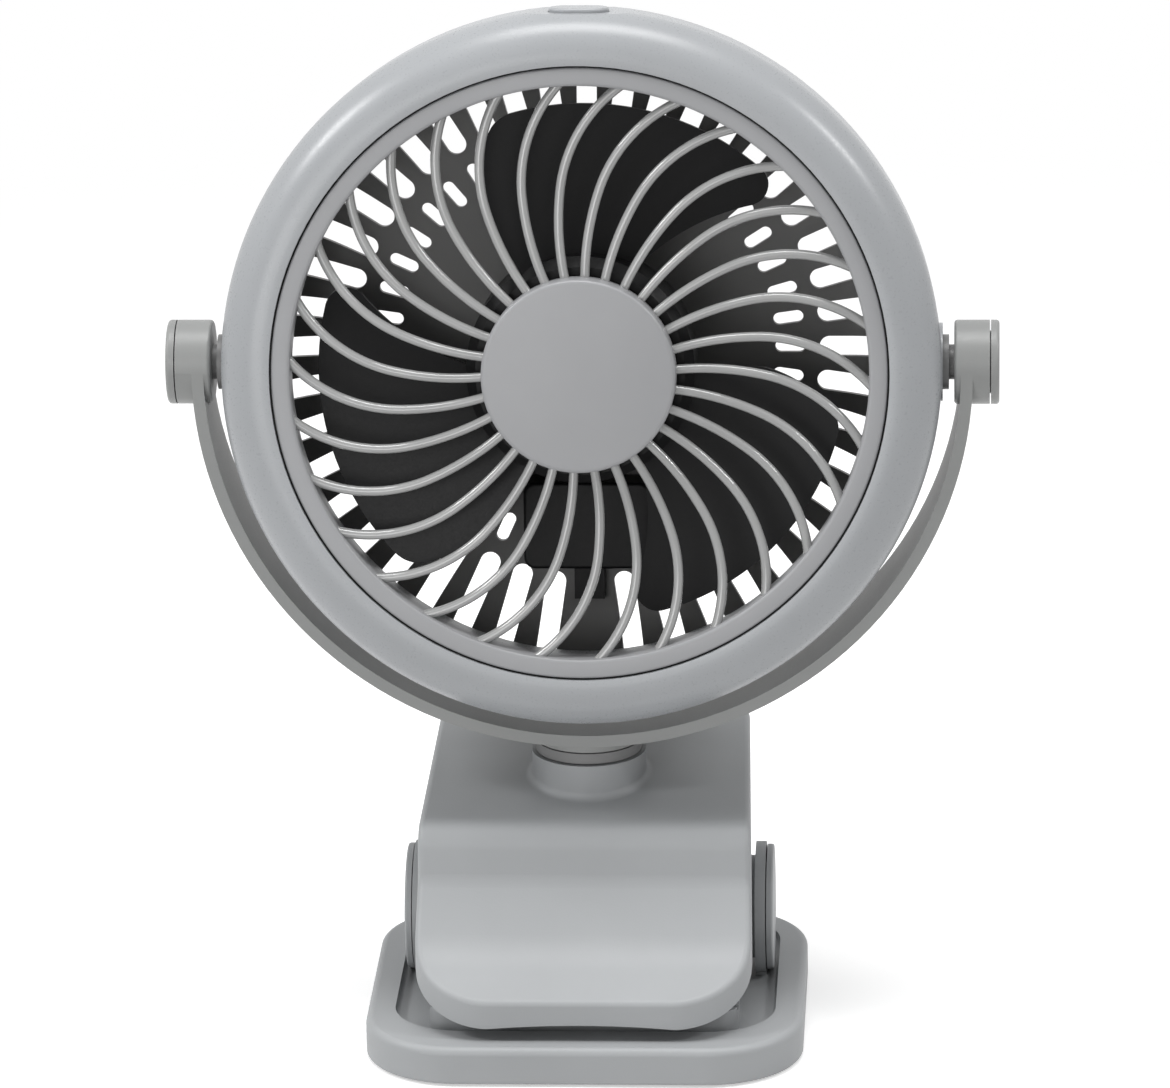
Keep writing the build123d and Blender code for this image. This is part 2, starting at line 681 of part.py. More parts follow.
def coil_point(turn):
    """A point of the coil, which winds about the hinge and starts at its back."""
    across = spring_start_x + SPRING_PITCH * turn
    y, z = polar(SPRING_RADIUS, -360 * turn)
    return Vector(across, HINGE_Y + y, HINGE_Z + z)


def coil_tangent(turn):
    """The coil's direction: straight down where the legs leave it, at both ends."""
    if turn in (0, SPRING_TURNS):
        return Vector(0, 0, -1)
    y, z = polar(1, -360 * turn - 90)
    return Vector(SPRING_PITCH / radians(360) / SPRING_RADIUS, y, z).normalized()


def biarc_middle(start, start_tangent, end, end_tangent):
    """Where two arcs that leave and arrive in the given directions meet smoothly."""
    chord = end - start
    both = start_tangent + end_tangent
    spread = 2 * (1 - start_tangent.dot(end_tangent))
    reach = (sqrt(chord.dot(both) ** 2 + spread * chord.dot(chord)) - chord.dot(both)) / spread
    return (start + start_tangent * reach + end - end_tangent * reach) * 0.5


leg_top = Vector(spring_start_x, spring_side, handle_z(spring_side) - JAW_WALL - SEAT_GAP)
leg_bottom = Vector(-spring_start_x, spring_side, recess_floor + SEAT_GAP)

with BuildPart() as clip_spring:
    with BuildLine() as wire:
        Line(leg_top, coil_point(0))
        for half_turn in range(2 * SPRING_TURNS):
            turn = half_turn / 2
            start, end = coil_point(turn), coil_point(turn + 0.5)
            leaving, arriving = coil_tangent(turn), coil_tangent(turn + 0.5)
            middle = biarc_middle(start, leaving, end, arriving)
            TangentArc(start, middle, tangent=leaving)
            TangentArc(end, middle, tangent=-arriving)
        Line(coil_point(SPRING_TURNS), leg_bottom)
    with BuildSketch(Plane(origin=leg_top, x_dir=(1, 0, 0), z_dir=(0, 0, -1))):
        RegularPolygon(WIRE_RADIUS, 6)
    sweep(path=wire.wire())

# The least distance between turns, along the wire's middle line, less the wire itself
wire_line = wire.wire()
line_points = [wire_line @ (index / LINE_POINTS) for index in range(LINE_POINTS + 1)]
step = wire_line.length / LINE_POINTS
apart = int(SPRING_RADIUS / step)
spring_gap = min(
    (line_points[first] - line_points[second]).length
    for first in range(LINE_POINTS)
    for second in range(first + apart, LINE_POINTS + 1)
)
print("clip spring's least gap to itself:", round(spring_gap - 2 * WIRE_RADIUS, 3))

# ---------------------------------------------------------------- neck pivot
washer_top = NECK_BOSS_BOTTOM - SEAT_GAP
washer_bottom = washer_top - NECK_WASHER_THICKNESS
pivot_bottom = NECK_TOP + SEAT_GAP

with BuildPart() as neck_pivot:
    with BuildSketch(NECK_SECTION):
        with BuildLine():
            Polyline(
                (NECK_SCREW_RADIUS, washer_top),
                (SPIGOT_RADIUS, washer_top),
                (SPIGOT_RADIUS, pivot_bottom),
                (PIVOT_RADIUS, pivot_bottom),
                (PIVOT_RADIUS, PIVOT_TOP),
                (PIVOT_WAIST, PIVOT_TOP),
                (PIVOT_WAIST, PIVOT_TOP + SEAT_GAP),
                (NECK_SCREW_RADIUS, PIVOT_TOP + SEAT_GAP),
                close=True,
            )
        make_face()
    revolve(axis=NECK_AXIS)

with BuildPart() as neck_washer:
    with BuildSketch(Plane.XY.offset(washer_bottom)):
        with Locations((0, NECK_Y)):
            Circle(NECK_WASHER_RADIUS)
            Circle(NECK_SCREW_RADIUS + SLIP_FIT, mode=Mode.SUBTRACT)
    extrude(amount=NECK_WASHER_THICKNESS)

with BuildPart() as neck_screw:
    with BuildSketch(Plane.XY.offset(washer_bottom - NECK_SCREW_HEAD_HEIGHT)):
        with Locations((0, NECK_Y)):
            Circle(NECK_SCREW_HEAD_RADIUS)
    extrude(amount=NECK_SCREW_HEAD_HEIGHT)
    fillet(neck_screw.faces().sort_by(Axis.Z)[0].edges(), NECK_SCREW_HEAD_HEIGHT / 3)
    with BuildSketch(Plane.XY.offset(washer_bottom)):
        with Locations((0, NECK_Y)):
            Circle(NECK_SCREW_RADIUS)
    extrude(amount=yoke_foot_top - washer_bottom)

# ---------------------------------------------------------------- yoke
def yoke_band(outside, inside, inset):
    """A half-round band that narrows upwards, seen from the side, to the width of the bosses."""
    with BuildPart() as band:
        with BuildSketch(YOKE_FRONT):
            Circle(outside)
            Circle(inside, mode=Mode.SUBTRACT)
            Rectangle(2 * outside, outside, align=(Align.CENTER, Align.MIN), mode=Mode.SUBTRACT)
        extrude(amount=YOKE_DEPTH / 2, both=True)
        boss_middle = (TILT_Y, tilt_z)
        boss_top = (TILT_Y, tilt_z + BOSS_RADIUS - inset)
        front = (TILT_Y - YOKE_DEPTH / 2 + inset, yoke_bottom + YOKE_THICKNESS / 2)
        back = (TILT_Y + YOKE_DEPTH / 2 - inset, yoke_bottom + YOKE_THICKNESS / 2)
        front_touch = touching(front, boss_middle, BOSS_RADIUS - inset, -1)
        back_touch = touching(back, boss_middle, BOSS_RADIUS - inset, 1)
        with BuildSketch(Plane.YZ):
            with BuildLine():
                Polyline(
                    front_touch,
                    front,
                    (front[0], front[1] - YOKE_THICKNESS),
                    (back[0], back[1] - YOKE_THICKNESS),
                    back,
                    back_touch,
                )
                ThreePointArc(back_touch, boss_top, front_touch)
            make_face()
        extrude(amount=outside, both=True, mode=Mode.INTERSECT)
    return band.part


yoke_groove = yoke_band(yoke_radius + YOKE_LIP_HEIGHT, yoke_radius - YOKE_LIP_HEIGHT, YOKE_LIP_WIDTH)

with BuildPart() as yoke:
    add(yoke_band(yoke_radius, yoke_inside, 0))
    # A wide shallow groove leaves a fine lip along each outer edge of the band.
    add(yoke_groove, mode=Mode.SUBTRACT)
    with BuildSketch(Plane.XY.offset(PIVOT_TOP + SEAT_GAP)):
        with Locations((0, NECK_Y)):
            Circle(PIVOT_RADIUS)
    extrude(amount=yoke_foot_top - PIVOT_TOP - SEAT_GAP)
    with BuildSketch(Plane.XY.offset(PIVOT_TOP + SEAT_GAP)):
        with Locations((0, NECK_Y)):
            Circle(NECK_SCREW_RADIUS)
    extrude(amount=yoke_foot_top - PIVOT_TOP - SEAT_GAP, mode=Mode.SUBTRACT)
    for side in (-1, 1):
        with BuildSketch(outward_plane(side, boss_inside)):
            with Locations((side * TILT_Y, tilt_z)):
                Circle(BOSS_RADIUS)
        extrude(amount=BOSS_LENGTH)
        boss_face = yoke.faces().filter_by(Plane.YZ).filter_by_position(
            Axis.X, side * boss_inside - SEAM, side * boss_inside + SEAM
        )
        fillet(boss_face.edges(), BOSS_EDGE)
        with BuildSketch(outward_plane(side, boss_inside)):
            with Locations((side * TILT_Y, tilt_z)):
                Circle(TILT_PIN_RADIUS + RUNNING_FIT)
        extrude(amount=BOSS_LENGTH, mode=Mode.SUBTRACT)
        with BuildSketch(outward_plane(side, boss_seat)):
            with Locations((side * TILT_Y, tilt_z)):
                Circle(BOSS_COUNTERBORE)
        extrude(amount=BOSS_CUP_DEPTH, mode=Mode.SUBTRACT)


def make_yoke_cap(side):
    """A round cap with a rolled edge, plugged into the boss."""
    with BuildPart() as cap:
        with BuildSketch(outward_plane(side, boss_outside + SEAM)):
            with Locations((side * TILT_Y, tilt_z)):
                Circle(BOSS_RADIUS)
        extrude(amount=BOSS_CAP_THICKNESS)
        fillet(cap.faces().sort_by(Axis.X)[-1 if side > 0 else 0].edges(), BOSS_CAP_EDGE)
        with BuildSketch(outward_plane(side, boss_outside - 2 * SEAM)):
            with Locations((side * TILT_Y, tilt_z)):
                Circle(BOSS_COUNTERBORE - SLIP_FIT / 3)
        extrude(amount=3 * SEAM)
    return cap


yoke_cap_left = make_yoke_cap(-1)
yoke_cap_right = make_yoke_cap(1)

# ---------------------------------------------------------------- tilt pins
pin_end = boss_seat + SEAT_GAP


def make_tilt_pin(side):
    """A stepped pin: a collar set in the ring, and a journal that turns in the yoke's boss."""
    with BuildPart() as pin:
        with BuildSketch(outward_plane(side, tilt_pin_root)):
            with Locations((side * TILT_Y, tilt_z)):
                Circle(TILT_COLLAR_RADIUS)
        extrude(amount=pin_boss_face + TILT_COLLAR_PROUD - tilt_pin_root)
        with BuildSketch(outward_plane(side, tilt_pin_root)):
            with Locations((side * TILT_Y, tilt_z)):
                Circle(TILT_PIN_RADIUS)
        extrude(amount=pin_end - tilt_pin_root)
        with BuildSketch(outward_plane(side, tilt_pin_root)):
            with Locations((side * TILT_Y, tilt_z)):
                Circle(TILT_SCREW_RADIUS)
        extrude(amount=pin_end - tilt_pin_root, mode=Mode.SUBTRACT)
    return pin


tilt_pin_left = make_tilt_pin(-1)
tilt_pin_right = make_tilt_pin(1)

with BuildPart() as tilt_washers:
    for side in (-1, 1):
        with BuildSketch(outward_plane(side, pin_end)):
            with Locations((side * TILT_Y, tilt_z)):
                Circle(TILT_WASHER_RADIUS)
                Circle(TILT_SCREW_RADIUS + SLIP_FIT, mode=Mode.SUBTRACT)
        extrude(amount=TILT_WASHER_THICKNESS)

with BuildPart() as tilt_screws:
    for side in (-1, 1):
        with BuildSketch(outward_plane(side, pin_end + TILT_WASHER_THICKNESS)):
            with Locations((side * TILT_Y, tilt_z)):
                Circle(TILT_SCREW_HEAD_RADIUS)
        extrude(amount=TILT_SCREW_HEAD_HEIGHT)
        with BuildSketch(outward_plane(side, tilt_pin_root)):
            with Locations((side * TILT_Y, tilt_z)):
                Circle(TILT_SCREW_RADIUS)
        extrude(amount=pin_end + TILT_WASHER_THICKNESS - tilt_pin_root)

# ---------------------------------------------------------------- ring housing
seam_radius = grille_radius + SEAM
crest_radius = RING_RADIUS - RING_CREST_RADIUS
lip_radius = seam_radius + RING_WALL
cavity_crest = RING_CREST_RADIUS - RING_WALL
duct_outside = duct_radius + DUCT_WALL
cover_back_inside = COVER_BACK_Z + COVER_WALL
BUTTON_PLANE = Plane(
    origin=HEAD.origin + HEAD.z_dir * BUTTON_Z, x_dir=HEAD.x_dir, z_dir=HEAD.y_dir
)
button_flat = RING_RADIUS - BUTTON_FLAT_DEPTH
button_flange_top = button_flat - BUTTON_FLANGE_DEPTH
switch_top = button_flange_top - BUTTON_FLANGE - BUTTON_TRAVEL - RUNNING_FIT
switch_body_top = switch_top - BUTTON_TRAVEL
switch_board_bottom = switch_body_top - SWITCH_HEIGHT - SWITCH_BOARD


def crest_z(radius, section_radius):
    """Height of the ring's round front, or of the hollow under it, at a distance from the axis."""
    return RING_CREST_Z + sqrt(section_radius**2 - (radius - crest_radius) ** 2)


def crest_middle(section_radius):
    """The round's point that faces half outward."""
    radius = crest_radius + section_radius / sqrt(2)
    return (radius, crest_z(radius, section_radius))


with BuildPart() as ring_housing:
    with BuildSketch(HEAD_SECTION):
        with BuildLine():
            Polyline(
                (seam_radius, crest_z(seam_radius, RING_CREST_RADIUS)),
                (seam_radius, LEDGE_Z),
                (duct_radius, LEDGE_Z),
                (duct_radius, RING_BACK_Z),
                (duct_outside, RING_BACK_Z),
                (duct_outside, LEDGE_Z - RING_WALL),
                (lip_radius, LEDGE_Z - RING_WALL),
                (lip_radius, crest_z(lip_radius, cavity_crest)),
            )
            ThreePointArc(
                (lip_radius, crest_z(lip_radius, cavity_crest)),
                crest_middle(cavity_crest),
                (crest_radius + cavity_crest, RING_CREST_Z),
            )
            Polyline(
                (crest_radius + cavity_crest, RING_CREST_Z),
                (RING_RADIUS - RING_DRAFT - RING_WALL, RING_BACK_Z),
                (RING_RADIUS - RING_DRAFT, RING_BACK_Z),
                (RING_RADIUS, RING_CREST_Z),
            )
            ThreePointArc(
                (RING_RADIUS, RING_CREST_Z),
                crest_middle(RING_CREST_RADIUS),
                (seam_radius, crest_z(seam_radius, RING_CREST_RADIUS)),
            )
        make_face()
    revolve(axis=HEAD_AXIS)
    # Round bosses in the hollow hold the tilt pins.
    for side in (-1, 1):
        with BuildSketch(outward_plane(side, tilt_pin_root)):
            with Locations((side * TILT_Y, tilt_z)):
                Circle(PIN_BOSS_RADIUS)
        extrude(amount=pin_boss_face - tilt_pin_root)
        with BuildSketch(outward_plane(side, tilt_pin_root)):
            with Locations((side * TILT_Y, tilt_z)):
                Circle(TILT_COLLAR_RADIUS)
        extrude(amount=pin_boss_face - tilt_pin_root, mode=Mode.SUBTRACT)
    # The flat for the button, the button's hole, and a block under its switch.
    with BuildSketch(BUTTON_PLANE.offset(button_flat)):
        Rectangle(RING_RADIUS, RING_RADIUS)
    extrude(amount=RING_WALL, mode=Mode.SUBTRACT)
    with BuildSketch(BUTTON_PLANE.offset(button_flange_top)):
        SlotOverall(BUTTON_LENGTH + 2 * SLIP_FIT, BUTTON_WIDTH + 2 * SLIP_FIT)
    extrude(amount=RING_WALL * 2, mode=Mode.SUBTRACT)
    with BuildSketch(BUTTON_PLANE.offset(duct_radius + DUCT_WALL / 2)):
        Rectangle(SWITCH_BOARD_LENGTH, SWITCH_BOARD_WIDTH)
    extrude(amount=switch_board_bottom - duct_radius - DUCT_WALL / 2)

with BuildPart() as power_button:
    with BuildSketch(BUTTON_PLANE.offset(button_flange_top)):
        SlotOverall(BUTTON_LENGTH, BUTTON_WIDTH)
    extrude(amount=BUTTON_FLANGE_DEPTH + BUTTON_PROUD)
    fillet(power_button.faces().sort_by(HEAD_UP)[-1].edges(), BUTTON_EDGE)
    with BuildSketch(BUTTON_PLANE.offset(button_flange_top - BUTTON_FLANGE)):
        SlotOverall(BUTTON_LENGTH + 2 * BUTTON_FLANGE, BUTTON_WIDTH + 2 * BUTTON_FLANGE)
    extrude(amount=BUTTON_FLANGE)

with BuildPart() as power_switch:
    with BuildSketch(BUTTON_PLANE.offset(switch_board_bottom)):
        Rectangle(SWITCH_BOARD_LENGTH, SWITCH_BOARD_WIDTH)
    extrude(amount=SWITCH_BOARD)
    with BuildSketch(BUTTON_PLANE.offset(switch_board_bottom + SWITCH_BOARD)):
        Rectangle(SWITCH_SIZE, SWITCH_SIZE)
    extrude(amount=SWITCH_HEIGHT)
    with BuildSketch(BUTTON_PLANE.offset(switch_body_top)):
        Circle(SWITCH_PLUNGER)
    extrude(amount=switch_top - switch_body_top)

# ---------------------------------------------------------------- front grille
hub_wall_start = HUB_RADIUS - HUB_WALL

with BuildPart() as grille_rib:
    with BuildLine() as rib_line:
        long_arc = TangentArc(
            (*polar(HUB_RADIUS - RIB_ROOT, RIB_START_DIRECTION), RIB_BACK_Z),
            (*polar(RIB_MIDDLE_RADIUS, RIB_MIDDLE_DIRECTION), RIB_BACK_Z),
            tangent=(*polar(1, RIB_START_DIRECTION + RIB_LEAN), 0),
        )
        TangentArc(
            long_arc @ 1,
            (*polar(grille_opening + RIB_HOLD, RIB_END_DIRECTION), RIB_BACK_Z),
            tangent=long_arc % 1,
        )
    with BuildSketch(Plane(origin=rib_line.line @ 0, x_dir=(0, 0, 1), z_dir=rib_line.line % 0)):
        with BuildLine():
            Polyline(
                (0, -RIB_WIDTH / 2),
                (RIB_DEPTH - RIB_CHAMFER, -RIB_WIDTH / 2),
                (RIB_DEPTH, -RIB_WIDTH / 2 + RIB_CHAMFER),
                (RIB_DEPTH, RIB_WIDTH / 2 - RIB_CHAMFER),
                (RIB_DEPTH - RIB_CHAMFER, RIB_WIDTH / 2),
                (0, RIB_WIDTH / 2),
                close=True,
            )
        make_face()
    sweep(path=rib_line.wire())

with BuildPart(HEAD) as front_grille:
    with PolarLocations(0, RIB_COUNT):
        add(grille_rib.part)
    with BuildSketch(HEAD_SECTION):
        # The rim, with the spigot that fits the duct
        with BuildLine():
            Polyline(
                (grille_opening, GRILLE_SPIGOT_Z),
                (duct_radius - SLIP_FIT, GRILLE_SPIGOT_Z),
                (duct_radius - SLIP_FIT, LEDGE_Z),
                (grille_radius, LEDGE_Z),
                (grille_radius, GRILLE_FRONT_Z),
                (grille_opening + GRILLE_EDGE, GRILLE_FRONT_Z),
                (grille_opening, GRILLE_FRONT_Z - GRILLE_EDGE),
                close=True,
            )
        make_face()
        # The hub disc, hollow at the back
        with BuildLine():
            Polyline(
                (0, HUB_FRONT_Z),
                (HUB_RADIUS - HUB_EDGE, HUB_FRONT_Z),
                (HUB_RADIUS, HUB_FRONT_Z - HUB_EDGE),
                (HUB_RADIUS, HUB_BACK_Z),
                (hub_wall_start, HUB_BACK_Z),
                (hub_wall_start, HUB_FRONT_Z - HUB_WALL),
                (0, HUB_FRONT_Z - HUB_WALL),
                close=True,
            )
        make_face()
    revolve(axis=HEAD_AXIS)

# ---------------------------------------------------------------- rear cover
shoulder_centre = cover_radius - COVER_SHOULDER
shoulder_z = COVER_BACK_Z + COVER_SHOULDER
inner_shoulder = COVER_SHOULDER - COVER_WALL
spigot_outside = RING_RADIUS - RING_DRAFT - RING_WALL - SLIP_FIT
spigot_inside = spigot_outside - SPIGOT_WALL
cup_inside = MOTOR_RADIUS + SLIP_FIT
slot_step = 360 / SLOT_POSITIONS
long_slot_middle = cover_radius - SLOT_EDGE - LONG_SLOT_LENGTH / 2
short_slot_middle = long_slot_middle - LONG_SLOT_LENGTH / 2 - SLOT_RING_GAP - SHORT_SLOT_LENGTH / 2

with BuildPart(HEAD) as rear_cover:
    with BuildSketch(HEAD_SECTION):
        with BuildLine():
            Polyline(
                (shoulder_centre, COVER_BACK_Z),
                (0, COVER_BACK_Z),
                (0, cover_back_inside),
                (shoulder_centre, cover_back_inside),
            )
            CenterArc((shoulder_centre, shoulder_z), inner_shoulder, -90, 90)
            Polyline(
                (shoulder_centre + inner_shoulder, shoulder_z),
                (spigot_inside, shoulder_z + COVER_WALL),
                (spigot_inside, RING_BACK_Z + SPIGOT_LENGTH),
                (spigot_outside, RING_BACK_Z + SPIGOT_LENGTH),
                (spigot_outside, RING_BACK_Z),
                (cover_radius, RING_BACK_Z),
                (cover_radius, shoulder_z),
            )
            CenterArc((shoulder_centre, shoulder_z), COVER_SHOULDER, -90, 90)
        make_face()
    revolve(axis=HEAD_AXIS)
    # Two rings of slots, with one position left solid at the bottom as a strut
    with BuildSketch(HEAD.offset(COVER_BACK_Z)):
        for index in range(1, SLOT_POSITIONS):
            direction = -90 + index * slot_step
            with Locations(Location((*polar(long_slot_middle, direction), 0), direction)):
                SlotOverall(LONG_SLOT_LENGTH, LONG_SLOT_WIDTH)
            with Locations(Location((*polar(short_slot_middle, direction), 0), direction)):
                SlotOverall(SHORT_SLOT_LENGTH, SHORT_SLOT_WIDTH)
    extrude(amount=RING_BACK_Z - COVER_BACK_Z, mode=Mode.SUBTRACT)
    # Half-round notches clear the ring's pin bosses.
    for side in (-1, 1):
        with BuildSketch(outward_plane(side, tilt_pin_root - SLIP_FIT)):
            with Locations((side * TILT_Y, tilt_z)):
                Circle(PIN_BOSS_RADIUS + SLIP_FIT)
        extrude(amount=RING_RADIUS - tilt_pin_root, mode=Mode.SUBTRACT)
    # The cup that the motor stands in, with three screw bosses beside it
    with BuildSketch(HEAD.offset(cover_back_inside)):
        Circle(cup_inside + MOTOR_CUP_WALL)
        with PolarLocations(MOUNT_SCREW_CIRCLE, MOUNT_SCREW_COUNT, MOUNT_EAR_START):
            Circle(MOUNT_EAR_RADIUS)
        Circle(cup_inside, mode=Mode.SUBTRACT)
    extrude(amount=MOTOR_FRONT_Z - cover_back_inside)
    with BuildSketch(HEAD.offset(cover_back_inside)):
        with PolarLocations(MOUNT_SCREW_CIRCLE, MOUNT_SCREW_COUNT, MOUNT_EAR_START):
            Circle(SCREW_RADIUS)
    extrude(amount=MOTOR_FRONT_Z - cover_back_inside, mode=Mode.SUBTRACT)
    # The window of the charging socket
    with BuildSketch(HEAD.offset(COVER_BACK_Z)):
        with Locations((0, SOCKET_Y)):
            RectangleRounded(
                SOCKET_WIDTH + 2 * SLIP_FIT, SOCKET_HEIGHT + 2 * SLIP_FIT, SOCKET_HEIGHT / 3
            )
    extrude(amount=COVER_WALL, mode=Mode.SUBTRACT)

# ---------------------------------------------------------------- motor
with BuildPart() as motor_can:
    with BuildSketch(HEAD.offset(cover_back_inside)):
        Circle(MOTOR_RADIUS)
    extrude(amount=MOTOR_FRONT_Z - cover_back_inside)
    with BuildSketch(HEAD.offset(SHAFT_BACK_Z)):
        Circle(SHAFT_RADIUS + RUNNING_FIT)
    extrude(amount=MOTOR_FRONT_Z - SHAFT_BACK_Z, mode=Mode.SUBTRACT)

with BuildPart() as motor_bell:
    with BuildSketch(HEAD.offset(MOTOR_FRONT_Z)):
        Circle(MOTOR_BELL_RADIUS)
    extrude(amount=MOTOR_BELL_FRONT_Z - MOTOR_FRONT_Z)
    fillet(motor_bell.edges().sort_by(HEAD_AXIS)[-1], FAN_HUB_EDGE)
    with BuildSketch(HEAD.offset(MOTOR_FRONT_Z)):
        Circle(SHAFT_RADIUS + RUNNING_FIT)
    extrude(amount=MOTOR_BELL_FRONT_Z - MOTOR_FRONT_Z, mode=Mode.SUBTRACT)

with BuildPart() as motor_mount:
    with BuildSketch(HEAD.offset(MOTOR_FRONT_Z)):
        Circle(cup_inside + MOTOR_CUP_WALL)
        with PolarLocations(MOUNT_SCREW_CIRCLE, MOUNT_SCREW_COUNT, MOUNT_EAR_START):
            Circle(MOUNT_EAR_RADIUS)
            Circle(SCREW_RADIUS + SLIP_FIT, mode=Mode.SUBTRACT)
        Circle(MOTOR_BELL_RADIUS + SLIP_FIT, mode=Mode.SUBTRACT)
    extrude(amount=MOUNT_THICKNESS)

with BuildPart() as motor_screws:
    with BuildSketch(HEAD.offset(MOTOR_FRONT_Z + MOUNT_THICKNESS)):
        with PolarLocations(MOUNT_SCREW_CIRCLE, MOUNT_SCREW_COUNT, MOUNT_EAR_START):
            Circle(MOUNT_HEAD_RADIUS)
    extrude(amount=MOUNT_HEAD_HEIGHT)
    with BuildSketch(HEAD.offset(cover_back_inside + COVER_WALL)):
        with PolarLocations(MOUNT_SCREW_CIRCLE, MOUNT_SCREW_COUNT, MOUNT_EAR_START):
            Circle(SCREW_RADIUS)
    extrude(amount=MOTOR_FRONT_Z + MOUNT_THICKNESS - cover_back_inside - COVER_WALL)

with BuildPart() as motor_shaft:
    with BuildSketch(HEAD.offset(SHAFT_BACK_Z + SEAT_GAP)):
        Circle(SHAFT_RADIUS)
    extrude(amount=SHAFT_FRONT_Z - SHAFT_BACK_Z - SEAT_GAP)

# ---------------------------------------------------------------- control board
board_middle = (BOARD_COVER_TOP + BOARD_COVER_BOTTOM) / 2
board_cover_height = BOARD_COVER_TOP - BOARD_COVER_BOTTOM
board_width = BOARD_COVER_WIDTH - 2 * BOARD_COVER_WALL - 2 * SLIP_FIT
tongue_end = shoulder_centre - CABLE_TONGUE_GAP
board_height = board_cover_height - 2 * BOARD_COVER_WALL - 2 * SLIP_FIT

with BuildPart() as board_cover:
    with BuildSketch(HEAD.offset(cover_back_inside)):
        with Locations((0, board_middle)):
            RectangleRounded(BOARD_COVER_WIDTH, board_cover_height, BOARD_COVER_CORNER)
    extrude(amount=BOARD_COVER_FRONT_Z - cover_back_inside)
    fillet(board_cover.faces().sort_by(HEAD_AXIS)[-1].edges(), BOARD_COVER_WALL / 2)
    with BuildSketch(HEAD.offset(cover_back_inside)):
        with Locations((0, (BOARD_COVER_BOTTOM - tongue_end) / 2)):
            Rectangle(CABLE_TONGUE_WIDTH, tongue_end + BOARD_COVER_BOTTOM)
    extrude(amount=CABLE_TONGUE_THICKNESS)
    with BuildSketch(HEAD.offset(cover_back_inside)):
        with Locations((0, board_middle)):
            Rectangle(board_width + 2 * SLIP_FIT, board_height + 2 * SLIP_FIT)
    extrude(amount=BOARD_FRONT_Z - cover_back_inside, mode=Mode.SUBTRACT)
    with BuildSketch(HEAD.offset(cover_back_inside)):
        with Locations((0, board_middle)):
            Rectangle(board_width - BOARD_LEDGE, board_height - BOARD_LEDGE)
    extrude(amount=BOARD_COVER_FRONT_Z - BOARD_COVER_WALL - cover_back_inside, mode=Mode.SUBTRACT)

with BuildPart() as control_board:
    with BuildSketch(HEAD.offset(BOARD_FRONT_Z - BOARD_THICKNESS)):
        with Locations((0, board_middle)):
            Rectangle(board_width, board_height)
    extrude(amount=BOARD_THICKNESS)

with BuildPart() as charge_port:
    with BuildSketch(HEAD.offset(COVER_BACK_Z + SLIP_FIT)):
        with Locations((0, SOCKET_Y)):
            RectangleRounded(SOCKET_WIDTH, SOCKET_HEIGHT, SOCKET_HEIGHT / 3)
    extrude(amount=BOARD_FRONT_Z - BOARD_THICKNESS - COVER_BACK_Z - SLIP_FIT)
    with BuildSketch(HEAD.offset(COVER_BACK_Z + SLIP_FIT)):
        with Locations((0, SOCKET_Y)):
            RectangleRounded(
                SOCKET_WIDTH - 2 * SOCKET_WALL, SOCKET_HEIGHT - 2 * SOCKET_WALL, SOCKET_HEIGHT / 4
            )
    extrude(amount=COVER_SHOULDER / 4, mode=Mode.SUBTRACT)

# ---------------------------------------------------------------- propeller
hub_cup_inside = FAN_HUB_RADIUS - FAN_HUB_WALL
recess_floor_z = FAN_HUB_FRONT_Z - NUT_HEIGHT


def blade_section(radius, thickness):
    """The blade's cross-section in a plane square to its own radius, tilted like a screw."""
    half = radius * tan(radians(BLADE_HALF_ANGLE))
    plane = Plane(
        origin=HEAD.from_local_coords(Vector(*polar(radius, BLADE_DIRECTION), BLADE_MIDDLE_Z)),
        x_dir=HEAD.x_dir * -sin(radians(BLADE_DIRECTION)) + HEAD.y_dir * cos(radians(BLADE_DIRECTION)),
        z_dir=HEAD.x_dir * cos(radians(BLADE_DIRECTION)) + HEAD.y_dir * sin(radians(BLADE_DIRECTION)),
    )
    with BuildSketch(plane) as section:
        with BuildLine():
            ThreePointArc((-half, -BLADE_RISE), (0, BLADE_CAMBER), (half, BLADE_RISE))
            Line((half, BLADE_RISE), (half, BLADE_RISE - thickness))
            ThreePointArc(
                (half, BLADE_RISE - thickness),
                (0, BLADE_CAMBER - thickness),
                (-half, -BLADE_RISE - thickness),
            )
            Line((-half, -BLADE_RISE - thickness), (-half, -BLADE_RISE))
        make_face()
    return section.sketch


blade_sections = [
    blade_section(FAN_HUB_RADIUS / 2, BLADE_ROOT_THICKNESS),
    blade_section(blade_tip / 2, (2 * BLADE_ROOT_THICKNESS + BLADE_TIP_THICKNESS) / 3),
    blade_section(blade_tip * 3 / 4, (BLADE_ROOT_THICKNESS + 2 * BLADE_TIP_THICKNESS) / 3),
    blade_section(blade_tip + BLADE_OVERRUN, BLADE_TIP_THICKNESS),
]
blade_root = hub_cup_inside + FAN_HUB_WALL / 2

